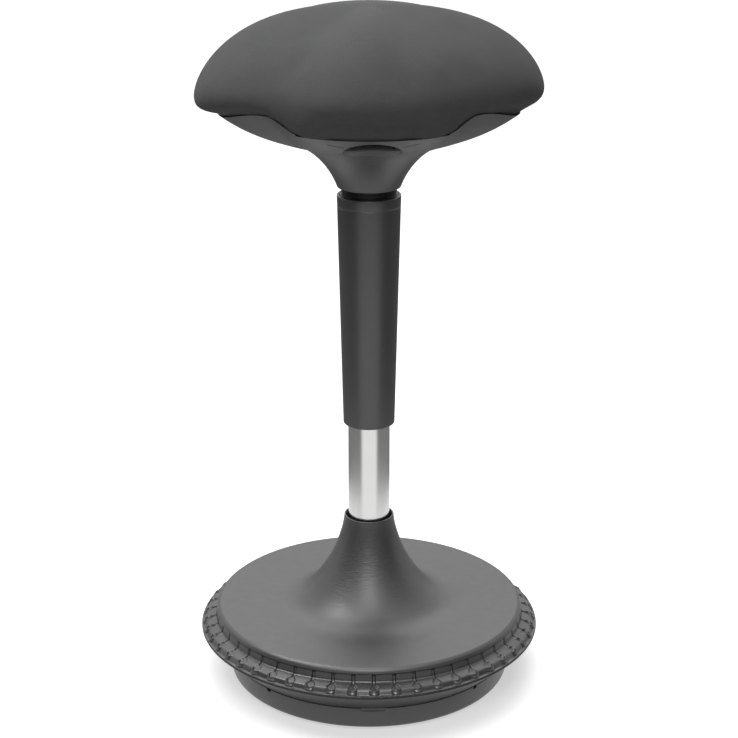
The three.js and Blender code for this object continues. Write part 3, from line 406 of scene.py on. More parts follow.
def wave_along(tree, a, b, pitch):
    """Threads that cross: the product of two sine waves along two directions."""
    waves = []
    for axis in (a, b):
        turn = add_node(tree, "ShaderNodeMath", operation="MULTIPLY")
        turn.inputs[1].default_value = 2 * math.pi / pitch
        link(tree, axis, turn.inputs[0])
        wave = add_node(tree, "ShaderNodeMath", operation="SINE")
        link(tree, turn.outputs[0], wave.inputs[0])
        waves.append(wave.outputs[0])
    both = add_node(tree, "ShaderNodeMath", operation="MULTIPLY")
    link(tree, waves[0], both.inputs[0])
    link(tree, waves[1], both.inputs[1])
    return both.outputs[0]


def weigh(tree, value, direction):
    """Counts a pattern where the surface faces along its own direction."""
    square = add_node(tree, "ShaderNodeMath", operation="POWER")
    square.inputs[1].default_value = 2.0
    size = add_node(tree, "ShaderNodeMath", operation="ABSOLUTE")
    link(tree, direction, size.inputs[0])
    link(tree, size.outputs[0], square.inputs[0])
    product = add_node(tree, "ShaderNodeMath", operation="MULTIPLY")
    link(tree, value, product.inputs[0])
    link(tree, square.outputs[0], product.inputs[1])
    return product.outputs[0]


thread_pitch = 0.0026
x, y, z = (parts.outputs[i] for i in range(3))
from_above = weigh(tree, wave_along(tree, x, y, thread_pitch), facing.outputs[2])
from_front = weigh(tree, wave_along(tree, x, z, thread_pitch), facing.outputs[1])
from_side = weigh(tree, wave_along(tree, y, z, thread_pitch), facing.outputs[0])
sides = add_node(tree, "ShaderNodeMath", operation="ADD")
link(tree, from_front, sides.inputs[0])
link(tree, from_side, sides.inputs[1])
weave = add_node(tree, "ShaderNodeMath", operation="ADD")
link(tree, from_above, weave.inputs[0])
link(tree, sides.outputs[0], weave.inputs[1])
fluff = noise(tree, place, 900.0, 4.0, 0.7)
threads = add_node(tree, "ShaderNodeMath", operation="MULTIPLY_ADD")
threads.inputs[1].default_value = 0.35
link(tree, weave.outputs[0], threads.inputs[0])
link(tree, fluff, threads.inputs[2])
bump(tree, shader, threads.outputs[0], 0.0005, 0.6)
cloud = noise(tree, place, 26.0, 5.0, 0.6)
speckle = add_node(tree, "ShaderNodeMath", operation="MULTIPLY_ADD")
speckle.inputs[1].default_value = 0.25
link(tree, threads.outputs[0], speckle.inputs[0])
link(tree, cloud, speckle.inputs[2])
thread_tone = to_range(tree, speckle.outputs[0], 0.0, 0.8)
vary_color(tree, shader, thread_tone, shade(fabric_color, 0.78), shade(fabric_color, 1.28))
print("fabric, threads", round(thread_pitch / mm, 1), "mm apart")

# %% Hidden materials: foam and plywood
foam_finish, tree, shader, place = new_finish("moulded_foam", (0.65, 0.6, 0.5), 0.9)
pores = add_node(tree, "ShaderNodeTexVoronoi", Scale=700.0)
link(tree, place, pores.inputs["Vector"])
bump(tree, shader, pores.outputs["Distance"], 0.0004)
vary_color(tree, shader, noise(tree, place, 60.0), (0.58, 0.53, 0.43), (0.7, 0.65, 0.55))

wood_finish, tree, shader, place = new_finish("plywood", (0.5, 0.34, 0.18), 0.6)
squeeze = add_node(tree, "ShaderNodeMapping")
squeeze.inputs["Scale"].default_value = (1.0, 0.06, 6.0)
link(tree, place, squeeze.inputs["Vector"])
grain = noise(tree, squeeze.outputs[0], 160.0, 5.0)
vary_color(tree, shader, grain, (0.4, 0.25, 0.12), (0.6, 0.43, 0.25))
bump(tree, shader, grain, 0.0002)
print("foam and plywood")

# %% [markdown]
# ## Turned mouldings
# Most of this stool is round: bell, ring, foot, tube, sleeve. Each is one outline spun about the
# column's axis. Real mouldings have no knife edges, so every corner of an outline gets a radius before
# it is spun. That small round is what catches the light and draws the bright lines in the photograph.

# %% Rounded outlines and spinning
def rounded(points, steps=5):
    """A closed outline of (radius, height, corner radius) in millimetres, its corners rounded."""
    outline = []
    count = len(points)
    for i, (r, z, corner) in enumerate(points):
        here = np.array([r, z], float)
        back = np.array(points[i - 1][:2], float) - here
        ahead = np.array(points[(i + 1) % count][:2], float) - here
        if corner <= 0:
            outline.append(here)
            continue
        back_length, ahead_length = np.linalg.norm(back), np.linalg.norm(ahead)
        reach = min(corner, back_length * 0.48, ahead_length * 0.48)
        start, end = here + back / back_length * reach, here + ahead / ahead_length * reach
        for k in range(steps + 1):
            t = k / steps
            outline.append((1 - t) ** 2 * start + 2 * t * (1 - t) * here + t ** 2 * end)
    return [(float(r) * mm, float(z) * mm) for r, z in outline]


def mesh_from(name, vertices, faces, finish, sharp=38):
    mesh = bpy.data.meshes.new(name)
    mesh.from_pydata([tuple(v) for v in vertices], [], faces)
    shape = bmesh.new()
    shape.from_mesh(mesh)
    bmesh.ops.remove_doubles(shape, verts=shape.verts, dist=1e-6)
    bmesh.ops.dissolve_degenerate(shape, edges=shape.edges, dist=1e-7)
    bmesh.ops.recalc_face_normals(shape, faces=shape.faces)
    if shape.calc_volume(signed=True) < 0:
        bmesh.ops.reverse_faces(shape, faces=shape.faces)
    shape.to_mesh(mesh)
    shape.free()
    mesh.shade_smooth()
    if sharp:
        mesh.set_sharp_from_angle(angle=math.radians(sharp))
    mesh.materials.append(finish)
    piece = bpy.data.objects.new(name, mesh)
    bpy.context.scene.collection.objects.link(piece)
    return piece


def spun(name, outline, finish, steps=192, sharp=38):
    """A solid of revolution from a closed outline in metres."""
    count = len(outline)
    vertices = []
    for i in range(steps):
        angle = 2 * math.pi * (i + 0.5) / steps - math.pi / 2
        vertices += [(r * math.cos(angle), r * math.sin(angle), z) for r, z in outline]
    faces = []
    for i in range(steps):
        a, b = i * count, ((i + 1) % steps) * count
        for j in range(count):
            k = (j + 1) % count
            faces.append((a + j, b + j, b + k, a + k))
    return mesh_from(name, vertices, faces, finish, sharp)


def report(piece):
    low = np.min([v.co for v in piece.data.vertices], axis=0) / mm
    high = np.max([v.co for v in piece.data.vertices], axis=0) / mm
    print(piece.name, len(piece.data.polygons), "faces, from", np.round(low, 1), "to", np.round(high, 1), "mm")


def place_piece(piece, body, slot, *replaced):
    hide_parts(*replaced)
    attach(piece, body)
    report(piece)


# %% [markdown]
# ## Base cover
# The bell is one injection moulding: a collar round the tube, a hollow flare, a nearly flat disc and a
# rounded shoulder. The flare follows a superellipse, a curve between a straight cone and a quarter
# circle, because a circle leaves the column too suddenly to match the photograph.

# %% Bell cover
rim_height = 66.0


def flare(top_radius, end_radius, top, end, steps, exponent=1.5):
    outline = []
    for k in range(steps + 1):
        angle = k / steps * math.pi / 2
        across = abs(math.cos(angle)) ** (2 / exponent)
        down = math.sin(angle) ** (2 / exponent)
        outline.append((end_radius - (end_radius - top_radius) * across, top - (top - end) * down, 0))
    return outline


def fading_foot(start, end, fall, steps=20, power=3.1):
    """Leads the flare out into the disc so slowly that no line shows between them."""
    outline = []
    for k in range(steps + 1):
        share = k / steps
        outline.append((start[0] + (end[0] - start[0]) * share, end[1] + fall * (1 - share) ** power, 0))
    return outline


bell_top = rim_height + 140.3
foot_radius, disc_height = 70.0, 93.5
steep_part = [p for p in flare(30.25, 100.0, bell_top - 1.2, rim_height + 28, 56)[1:] if p[0] < foot_radius]
foot_start = steep_part.pop()
bell_outside = [
    (28.15, bell_top - 0.2, 0.5), (30.0, bell_top, 0.8),
    *steep_part, *fading_foot(foot_start, (130.0, disc_height), foot_start[1] - disc_height),
    (160.0, 92.9, 0), (176.0, 92.6, 0), (184.0, 92.4, 1.0), (187.2, 90.1, 2.2), (188.8, 86.4, 0.8), (188.0, 85.0, 0.4),
    (183.3, 84.95, 0.3), (183.3, 66.3, 0.3),
]
bell_inside = [
    (180.3, 66.3, 0.3), (180.3, 84.0, 2.0), (175.0, 86.6, 1.0), (97.0, 91.0, 0),
    *reversed(flare(28.15, 97.0, bell_top - 2.6, rim_height + 25, 24)[1:-1]),
]
bell = spun("bell_cover", rounded([*bell_outside, *bell_inside]), bell_finish)
place_piece(bell, "base", "cover_plastic", "base_cover")

# %% [markdown]
# ## Rim ring
# A soft ring runs round the disc and is notched like the edge of a coin: each notch is a keyhole, a
# round bulb towards the outside with a neck that climbs the inner wall, and the bead bulges outwards
# round every bulb. One fiftieth of the ring is modelled as a fine sheet pressed in along the keyhole,
# and Geometry Nodes turn it round the column. Copying a wedge keeps every notch the same, as a mould does.

# %% One wedge of the ring
notch_count = 50
bulb_place, bulb_radius, neck_half, notch_depth = 198.9, 4.7, 1.85, 2.1
bead_slope = 0.34
ring_corners = [
    (183.6, 84.65, 0.3), (187.6, 84.65, 0.3), (189.4, 76.3, 1.4), (201.4, 72.2, 1.3),
    (204.3, 66.9, 0.4), (207.2, 66.5, 0.15), (207.2, 66.3, 0.05), (183.6, 66.3, 0.1),
]


def resampled(outline, spacing_at):
    """The same closed outline with more points wherever the spacing asks for them."""
    result = []
    for a, b in zip(outline, outline[1:] + outline[:1]):
        a, b = np.array(a), np.array(b)
        parts = max(1, math.ceil(np.linalg.norm(b - a) / spacing_at((a + b) / 2)))
        result += [a + (b - a) * k / parts for k in range(parts)]
    return np.array(result)


def ring_spacing(point):
    r, z = point
    if z < 66.5 or r < 185.0:
        return 8.0
    if r > 202.0:
        return 1.0
    return 0.62 if z < 78.0 else 0.95


def smooth_step(low, high, value):
    t = np.clip((value - low) / (high - low), 0, 1)
    return t * t * (3 - 2 * t)


fine_outline = resampled([(r / mm, z / mm) for r, z in rounded(ring_corners, 3)], ring_spacing)
ahead, behind = np.roll(fine_outline, -1, axis=0), np.roll(fine_outline, 1, axis=0)
along = ahead - behind
outward = np.stack([-along[:, 1], along[:, 0]], axis=1)
outward /= np.linalg.norm(outward, axis=1, keepdims=True)
print("wedge outline:", len(fine_outline), "points")

# %% The keyhole pressed into the wedge
inner_steps = np.arange(-6.0, 6.01, 0.6)
side_steps = np.array([6.9, 9.2, bulb_place * math.pi / notch_count])
across = np.concatenate([-side_steps[::-1], inner_steps, side_steps]) / bulb_place
wedge_vertices = []
for angle in across:
    for (r, z), (nr, nz) in zip(fine_outline, outward):
        t = r * angle
        bulge = max(0.0, bulb_place + 0.875 * math.sqrt(max(6.3 ** 2 - t * t, 0.0)) - 201.6)
        if z > 66.5 and r > 192.5:
            if z > 71.0:
                push = bulge * smooth_step(196.0, 201.4, r)
                r, z = r + push, z - push * bead_slope
            else:
                push = bulge * smooth_step(207.1, 203.0, r)
                r, z = r + push, z - push * bead_slope * smooth_step(68.2, 71.0, z)
        t = r * angle
        reach = (r - bulb_place) / 0.875
        to_bulb = math.hypot(reach, t) - bulb_radius
        to_neck = abs(t) - neck_half if reach < 0 else math.hypot(reach, max(abs(t) - neck_half, 0.0))
        blend = max(2.2 - abs(to_bulb - to_neck), 0.0) / 2.2
        inside = min(to_bulb, to_neck) - blend * blend * 2.2 / 4
        if z > 66.5 and r > 184.9:
            depth = notch_depth * float(smooth_step(0.5, -0.5, inside))
            if reach > 0:
                depth -= 0.7 * max(0.0, 1 - abs(inside - 0.9) / 0.9) * float(smooth_step(0.0, 2.5, reach))
            r, z = r - nr * depth, z - nz * depth
        turn = angle - math.pi / 2
        wedge_vertices.append((r * mm * math.cos(turn), r * mm * math.sin(turn), z * mm))
rows, columns = len(fine_outline), len(across)
wedge_faces = [
    (c * rows + j, (c + 1) * rows + j, (c + 1) * rows + (j + 1) % rows, c * rows + (j + 1) % rows)
    for c in range(columns - 1) for j in range(rows)
]
wedge_mesh = bpy.data.meshes.new("rim_ring_rubber")
wedge_mesh.from_pydata(wedge_vertices, [], wedge_faces)
rim_ring = bpy.data.objects.new("rim_ring_rubber", wedge_mesh)
bpy.context.scene.collection.objects.link(rim_ring)
print("one wedge:", len(wedge_faces), "faces")

# %% A tree that turns copies round the column
def around_tree(name):
    """Geometry Nodes: copies of the piece itself, turned evenly round Z, welded and given a finish."""
    tree = bpy.data.node_groups.new(name, "GeometryNodeTree")
    face = tree.interface
    face.new_socket("Piece", in_out="INPUT", socket_type="NodeSocketGeometry")
    count = face.new_socket("Count", in_out="INPUT", socket_type="NodeSocketInt")
    first = face.new_socket("First angle", in_out="INPUT", socket_type="NodeSocketFloat")
    weld = face.new_socket("Weld distance", in_out="INPUT", socket_type="NodeSocketFloat")
    finish = face.new_socket("Finish", in_out="INPUT", socket_type="NodeSocketMaterial")
    face.new_socket("Ring", in_out="OUTPUT", socket_type="NodeSocketGeometry")
    given = add_node(tree, "NodeGroupInput")
    result = add_node(tree, "NodeGroupOutput")
    points = add_node(tree, "GeometryNodePoints")
    link(tree, given.outputs["Count"], points.inputs["Count"])
    index = add_node(tree, "GeometryNodeInputIndex")
    share = add_node(tree, "ShaderNodeMath", operation="DIVIDE")
    link(tree, index.outputs[0], share.inputs[0])
    link(tree, given.outputs["Count"], share.inputs[1])
    turn = add_node(tree, "ShaderNodeMath", operation="MULTIPLY_ADD")
    turn.inputs[1].default_value = 2 * math.pi
    link(tree, share.outputs[0], turn.inputs[0])
    link(tree, given.outputs["First angle"], turn.inputs[2])
    euler = add_node(tree, "ShaderNodeCombineXYZ")
    link(tree, turn.outputs[0], euler.inputs[2])
    rotation = add_node(tree, "FunctionNodeEulerToRotation")
    link(tree, euler.outputs[0], rotation.inputs[0])
    copies = add_node(tree, "GeometryNodeInstanceOnPoints")
    link(tree, points.outputs[0], copies.inputs["Points"])
    link(tree, given.outputs["Piece"], copies.inputs["Instance"])
    link(tree, rotation.outputs[0], copies.inputs["Rotation"])
    real = add_node(tree, "GeometryNodeRealizeInstances")
    link(tree, copies.outputs[0], real.inputs[0])
    merge = add_node(tree, "GeometryNodeMergeByDistance")
    link(tree, real.outputs[0], merge.inputs["Geometry"])
    link(tree, given.outputs["Weld distance"], merge.inputs["Distance"])
    paint = add_node(tree, "GeometryNodeSetMaterial")
    link(tree, merge.outputs[0], paint.inputs["Geometry"])
    link(tree, given.outputs["Finish"], paint.inputs["Material"])
    link(tree, paint.outputs[0], result.inputs[0])
    names = {"Count": count, "First angle": first, "Weld distance": weld, "Finish": finish}
    return tree, {key: socket.identifier for key, socket in names.items()}


def copy_around(piece, count, first_angle, weld, finish):
    modifier = piece.modifiers.new("around", "NODES")
    modifier.node_group = ring_tree
    values = {"Count": count, "First angle": first_angle, "Weld distance": weld, "Finish": finish}
    for key, value in values.items():
        modifier[ring_sockets[key]] = value
    apply_modifiers(piece)


def apply_modifiers(piece):
    """Turns what the modifiers show into the piece's own plain mesh."""
    bpy.context.view_layer.update()
    depsgraph = bpy.context.evaluated_depsgraph_get()
    mesh = bpy.data.meshes.new_from_object(piece.evaluated_get(depsgraph), depsgraph=depsgraph)
    piece.modifiers.clear()
    piece.data = mesh
    return piece


ring_tree, ring_sockets = around_tree("turned_copies")
copy_around(rim_ring, notch_count, 0.0, 0.00002, rubber_finish)
rim_ring.data.shade_smooth()
rim_ring.data.set_sharp_from_angle(angle=math.radians(60))
place_piece(rim_ring, "base", "rubber", "rim_ring")

# %% [markdown]
# ## Lower base
# Under the ring the base narrows: a lip that carries the ring, a slanting band, and a foot ring with a
# notch at the front and small slots where its clips snap in. The rubber pad closes the underside. Its
# middle is flat and its edge rolls upwards, which lets the whole stool lean.

# %% Cutting helper
def cutter_box(low, high, turn=0.0):
    xs, ys, zs = zip(low, high)
    corners = [(x * mm, y * mm, z * mm) for x in xs for y in ys for z in zs]
    faces = [(0, 1, 3, 2), (4, 6, 7, 5), (0, 4, 5, 1), (2, 3, 7, 6), (0, 2, 6, 4), (1, 5, 7, 3)]
    c, s = math.cos(turn), math.sin(turn)
    corners = [(x * c - y * s, x * s + y * c, z) for x, y, z in corners]
    return mesh_from("cutter", corners, faces, black_finish, None)


def cutter_post(radius, low, high, x=0.0, y=0.0, steps=32):
    outline = [(0, low * mm), (radius * mm, low * mm), (radius * mm, high * mm), (0, high * mm)]
    post = spun("cutter", outline, black_finish, steps, None)
    post.data.transform(Matrix.Translation((x * mm, y * mm, 0)))
    return post


def carve(piece, cutters, operation="DIFFERENCE"):
    """Cuts the pieces away (or joins or keeps them) and leaves a plain mesh."""
    for cutter in cutters:
        modifier = piece.modifiers.new("carve", "BOOLEAN")
        modifier.operation, modifier.object, modifier.solver = operation, cutter, "EXACT"
    apply_modifiers(piece)
    for cutter in cutters:
        bpy.data.objects.remove(cutter)
    piece.data.shade_smooth()
    piece.data.set_sharp_from_angle(angle=math.radians(34))
    return piece


diagonals = [math.radians(a) for a in (45, 135, 225, 315)]

# %% Foot ring and dish
foot = spun("foot_ring_moulding", rounded([
    (157.3, 5, 0.6), (171.0, 5, 7.5), (174.3, 33.1, 0.7), (169.5, 33.1, 0.3), (167.0, 10, 2.5), (157.3, 10, 0.6),
], 8), foot_finish)
notch = cutter_box((-14.5, -182, 29.4), (14.5, -169.5, 40))
slots = [cutter_box((170.2, -3.0, 29.8), (180, 3.0, 40), a) for a in diagonals]
carve(foot, [notch, *slots])
place_piece(foot, "base", "dark_plastic", "foot_ring")

dish = spun("base_dish_moulding", rounded([
    (21, 13, 0.3), (166.7, 13, 2.0), (169.2, 33.2, 0.2), (173.4, 33.2, 0.1), (202.4, 60.4, 1.2), (203.4, 63.2, 0.5),
    (207.7, 63.2, 1.0), (207.7, 66.0, 1.0), (179.5, 66.0, 0.3), (179.5, 63.0, 0.3), (200.9, 63.0, 1.0),
    (172.0, 36.3, 2.0), (166.2, 36.3, 1.0), (163.7, 16, 2.0), (21, 16, 0.3),
]), band_finish)
carve(dish, [cutter_box((-14.2, -173.0, 29.7), (14.2, -167.9, 33.8))], "UNION")
carve(dish, [cutter_post(2.7, 9, 20, 151.5 * math.cos(a), 151.5 * math.sin(a)) for a in diagonals])
dish.data.materials.append(foot_finish)
for face in dish.data.polygons:
    x, y, z = face.center / mm
    if y < -172.5 and abs(x) < 14.4 and z < 33.9:
        face.material_index = 1
place_piece(dish, "base", "dark_plastic", "base_dish")

# %% Rubber pad
pad_flat, pad_edge, pad_rise = 95.8, 157.0, 4.6
roll = [
    (pad_flat + (pad_edge - pad_flat) * k / 20, pad_rise * (k / 20) ** 2, 0) for k in range(1, 20)
]
pad = spun("rolling_pad", rounded([
    (0, 0, 0), (pad_flat, 0, 0), *roll, (pad_edge, pad_rise, 0.8), (pad_edge, 12.7, 0.6), (0, 12.7, 0),
]), pad_finish)
pockets = [cutter_post(4.9, 9.4, 16, 151.5 * math.cos(a), 151.5 * math.sin(a)) for a in diagonals]
carve(pad, [cutter_post(18.0, 10.7, 16), *pockets])
place_piece(pad, "base", "rubber", "bottom_pad")

# %% [markdown]
# ## Column
# The chromed tube is held by the base. Above it slides the seat's own tapered sleeve, wider at the top,
# with a black stepped ring between the sleeve and the seat. All three are spun like the bell, and a
# shallow groove near the sleeve's top edge marks where its cap begins.

# %% Tube, sleeve and neck ring
tube_outline = [(23, 35.9, 0.3), (25, 35.9, 0.4), (25, 470, 0.7), (23, 470, 0.4)]
tube = spun("chrome_tube", rounded(tube_outline), chrome_finish, 128)
place_piece(tube, "base", "chrome", "outer_tube")


def sleeve_radius(z):
    return 30.7 + (z - 326) / 281 * 6.7


sleeve = spun("column_sleeve", rounded([
    (27.9, 326, 0.8), (30.7, 326, 2.0),
    (sleeve_radius(593.6), 593.6, 0.2), (sleeve_radius(594) - 0.3, 594.0, 0.2),
    (sleeve_radius(595) - 0.3, 595.2, 0.2), (sleeve_radius(595.6), 595.6, 0.2),
    (37.4, 607, 2.4), (34.6, 607, 0.8),
]), sleeve_finish, 128, sharp=60)
place_piece(sleeve, "seat", "dark_plastic", "sleeve")

neck = spun("neck_ring_black", rounded([
    (19.3, 593, 0.2), (33.8, 593, 0.5), (34.15, 606.9, 0.4), (32.3, 607.2, 0.2), (32.3, 608.7, 0.25),
    (31.3, 608.8, 0.2), (31.3, 610.4, 0.2), (32.3, 610.5, 0.25), (32.3, 612.2, 0.25), (31.3, 612.3, 0.2),
    (31.3, 613.9, 0.2), (32.3, 614.0, 0.25), (32.3, 615.7, 0.2), (19.3, 615.7, 0.2),
], 3), black_finish, 128)
place_piece(neck, "seat", "black_plastic", "neck_ring")

# %% [markdown]
# ## Seat shell
# One moulding makes the neck and the dish under the cushion. Its rim waves: it rises between the four
# lobes of the seat, and beside the front lobe it falls away quickly to leave room for the fingers. The
# form changes with the direction round the column, so its outline is worked out anew for every angle
# and the outlines are joined into a skin, which is called lofting.

# %% The four-lobed forms
seat_depth_share = 0.96


def valley_at(angle):
    """0 in the middle of a lobe, 1 in a valley between two lobes."""
    return (0.5 - 0.5 * math.cos(4 * angle)) ** 1.5


def depth_at(angle):
    return 1 - (1 - seat_depth_share) * math.sin(angle) ** 2


def rim_rise(angle):
    beside_front = -math.sin(angle) > math.sqrt(0.5) + 1e-6
    return 17.0 * valley_at(angle) ** (5 if beside_front else 1)


def lofted(name, outline_at, finish, steps=180, sharp=38):
    """A solid whose outline changes with the angle; each outline starts and ends on the axis."""
    outlines = [outline_at(2 * math.pi * i / steps) for i in range(steps)]
    rings = len(outlines[0]) - 2
    vertices = [(0, 0, outlines[0][0][1] * mm), (0, 0, outlines[0][-1][1] * mm)]
    for i, outline in enumerate(outlines):
        c, s = math.cos(2 * math.pi * i / steps), math.sin(2 * math.pi * i / steps)
        vertices += [(r * c * mm, r * s * mm, z * mm) for r, z in outline[1:-1]]
    faces = []
    for i in range(steps):
        a, b = 2 + i * rings, 2 + (i + 1) % steps * rings
        faces += [(0, a, b), (1, b + rings - 1, a + rings - 1)]
        faces += [(a + j, a + j + 1, b + j + 1, b + j) for j in range(rings - 1)]
    return mesh_from(name, vertices, faces, finish, sharp)


print("valley at 45 degrees:", valley_at(math.radians(45)), "rim rise:", rim_rise(math.radians(45)))

# %% Outside and inside of the shell
neck_bottom, neck_radius, dish_start_radius, dish_start_height = 616.0, 37.7, 94.94, 674.0
shell_rim_radius, shell_rim_height, shell_wall = 172.0, 704.9, 3.0


def neck_curve(inset, steps):
    a = np.array([neck_radius - inset, neck_bottom + 2.4])
    b = np.array([neck_radius + 6.7 - inset, neck_bottom + 20.1])
    c = np.array([neck_radius + 23 - inset / 2, neck_bottom + 45.7 + inset])
    d = np.array([dish_start_radius, dish_start_height + inset])
    t = np.linspace(0, 1, steps + 1)[:, None]
    curve = (1 - t) ** 3 * a + 3 * t * (1 - t) ** 2 * b + 3 * t * t * (1 - t) * c + t ** 3 * d
    return [tuple(p) for p in curve]


def dish_climb(share):
    """The dish leaves the neck almost level and steepens as it goes out to the rim."""
    return share * (share + 0.2 * (1 - share))


def shell_rise(angle, inset, steps):
    valley = valley_at(angle)
    radius = (shell_rim_radius - 6.0 * valley) * depth_at(angle) - inset
    height = shell_rim_height + rim_rise(angle)
    start = dish_start_height + inset
    rise = []
    for k in range(1, steps + 1):
        share = k / steps
        rise.append((
            dish_start_radius + (radius - dish_start_radius) * share,
            start + (height - start) * dish_climb(share),
        ))
    return rise


def shell_outline(angle):
    foot = [(0, 616.0), (neck_radius - 2.4, 616.0), (neck_radius - 0.7, 616.7)]
    rise = shell_rise(angle, 0.0, 18)
    return [*foot, *neck_curve(0.0, 26), *rise, (rise[-1][0] - shell_wall, rise[-1][1]), (0, rise[-1][1])]


def hollow_outline(angle):
    rise = shell_rise(angle, shell_wall, 12)
    foot = [(0, 612.0), (neck_radius - shell_wall, 612.0)]
    return [*foot, *neck_curve(shell_wall, 16), *rise, (rise[-1][0], rise[-1][1] + 4), (0, 726.0)]


front_run = shell_rim_radius * seat_depth_share - dish_start_radius
scoop_place, scoop_depth, scoop_half_width, scoop_half_length = 130.0, 9.0, 33.0, 33.0


def front_dish(radius):
    return dish_start_height + 31.2 * dish_climb((radius - dish_start_radius) / front_run)


scoop_slope = math.atan(front_dish(scoop_place + 0.5) - front_dish(scoop_place - 0.5))


def scoop(grow):
    """A flattened ball, pressed into the front of the dish."""
    rows, columns = 24, 64
    vertices, faces = [], []
    for i in range(rows + 1):
        polar = math.pi * i / rows
        for k in range(columns):
            a = 2 * math.pi * k / columns
            vertices.append((math.sin(polar) * math.cos(a), math.sin(polar) * math.sin(a), math.cos(polar)))
    for i in range(rows):
        for k in range(columns):
            m = (k + 1) % columns
            faces.append((i * columns + k, (i + 1) * columns + k, (i + 1) * columns + m, i * columns + m))
    half = (scoop_half_width + grow, scoop_half_length / math.cos(scoop_slope) + grow, scoop_depth + grow)
    c, s = math.cos(-scoop_slope), math.sin(-scoop_slope)
    height = front_dish(scoop_place)
    placed = []
    for x, y, z in vertices:
        x, y, z = x * half[0], y * half[1], z * half[2]
        placed.append((x * mm, (y * c - z * s - scoop_place) * mm, (y * s + z * c + height) * mm))
    return mesh_from("cutter", placed, faces, black_finish, None)


shell = lofted("seat_shell_moulding", shell_outline, shell_finish)
hollow = lofted("cutter", hollow_outline, shell_finish)
carve(shell, [scoop(0.0)])
carve(hollow, [scoop(shell_wall)])
carve(shell, [hollow])
print("shell with its hollow:", len(shell.data.polygons), "faces")

# %% Bosses, screw holes, finger opening and slits
def oval_post(half_width, half_length, y, low, high, steps=72):
    turns = [2 * math.pi * k / steps for k in range(steps)]
    ring = [(half_width * math.cos(turn), y + half_length * math.sin(turn)) for turn in turns]
    vertices = [(x * mm, v * mm, low * mm) for x, v in ring] + [(x * mm, v * mm, high * mm) for x, v in ring]
    faces = [tuple(range(steps)), tuple(range(steps, 2 * steps))]
    faces += [(k, (k + 1) % steps, steps + (k + 1) % steps, steps + k) for k in range(steps)]
    return mesh_from("cutter", vertices, faces, black_finish, None)


screw_circle = 114.04
screw_places = [(screw_circle * math.cos(a), screw_circle * math.sin(a)) for a in diagonals]
for x, y in screw_places:
    boss = cutter_post(8.0, 674, 705.7, x, y)
    outside = lofted("cutter", shell_outline, shell_finish, 90)
    carve(boss, [outside], "INTERSECT")
    carve(shell, [boss], "UNION")
opening = oval_post(30.5, 24.0, -132.0, 668, 706)
slit_place = 147.0
slit_height = front_dish(slit_place)
slits = [
    cutter_box(
        (min(s * 31, s * 49), -slit_place - 0.9, slit_height - 9),
        (max(s * 31, s * 49), -slit_place + 0.9, slit_height + 12),
    )
    for s in (-1, 1)
]


def recess_floor(x):
    return 704.3 + 1.0 * (x / 83.0) ** 2


def arched_cutter(half_width, near, far, top, floor_at, steps=24):
    """A box whose underside follows a curve from side to side."""
    across = [-half_width + 2 * half_width * k / steps for k in range(steps + 1)]
    vertices = []
    for x in across:
        low = floor_at(x)
        vertices += [(x * mm, y * mm, z * mm) for y, z in ((near, low), (far, low), (far, top), (near, top))]
    faces = [(0, 1, 2, 3), tuple(4 * steps + k for k in (3, 2, 1, 0))]
    for i in range(steps):
        faces += [(4 * i + k, 4 * i + (k + 1) % 4, 4 * i + 4 + (k + 1) % 4, 4 * i + 4 + k) for k in range(4)]
    return mesh_from("cutter", vertices, faces, black_finish, None)


recess = arched_cutter(83.0, -85.3, -181.0, 725.0, recess_floor)
shafts = [cutter_post(2.3, 668, 712, x, y) for x, y in screw_places]
wells = [cutter_post(4.5, 664, 700.7, x, y) for x, y in screw_places]
carve(shell, [opening, *slits, recess, *shafts, *wells])
place_piece(shell, "seat", "dark_plastic", "seat_shell")

# %% [markdown]
# Four screws hold the shell to the seat board from below. One screw is turned with a domed head and a
# cross recess, and the same tree that made the ring turns it onto the four diagonals.

# %% Shell screws
screw = spun("shell_screws", rounded([
    (0, 697.8, 0), (2.2, 697.8, 0.6), (4.2, 699.2, 0.7), (4.2, 700.4, 0.3),
    (2.0, 700.4, 0.1), (2.0, 714.8, 0.3), (0, 714.8, 0),
]), steel_finish, 32)
carve(screw, [cutter_box((-2.1, -0.45, 697), (2.1, 0.45, 698.9)), cutter_box((-0.45, -2.1, 697), (0.45, 2.1, 698.9))])
screw.data.transform(Matrix.Translation((screw_circle * mm, 0, 0)))
copy_around(screw, 4, math.pi / 4, 0.000001, steel_finish)
screw.data.shade_smooth()
screw.data.set_sharp_from_angle(angle=math.radians(34))
place_piece(screw, "seat", "steel", "shell_screw_1", "shell_screw_2", "shell_screw_3", "shell_screw_4")

# %% [markdown]
# ## Release lever
# Behind the finger opening lies the lever that frees the column. The CAD pieces have the right shape
# but hard edges, so a copy of each gets a small bevel.

# %% Lever with softened edges
def softened(node, name, width, finish, slot, body):
    mesh = nodes[node].data.copy()
    piece = bpy.data.objects.new(name, mesh)
    bpy.context.scene.collection.objects.link(piece)
    shape = bmesh.new()
    shape.from_mesh(mesh)
    bmesh.ops.remove_doubles(shape, verts=shape.verts, dist=1e-6)
    bmesh.ops.dissolve_limit(shape, angle_limit=0.02, verts=shape.verts, edges=shape.edges)
    shape.to_mesh(mesh)
    shape.free()
    bevel = piece.modifiers.new("bevel", "BEVEL")
    bevel.width, bevel.segments, bevel.limit_method = width * mm, 3, "ANGLE"
    bevel.angle_limit = math.radians(40)
    apply_modifiers(piece)
    piece.data.materials.clear()
    piece.data.materials.append(finish)
    piece.data.polygons.foreach_set("material_index", [0] * len(piece.data.polygons))
    piece.data.shade_smooth()
    piece.data.set_sharp_from_angle(angle=math.radians(34))
    place_piece(piece, body, slot, node)
    return piece


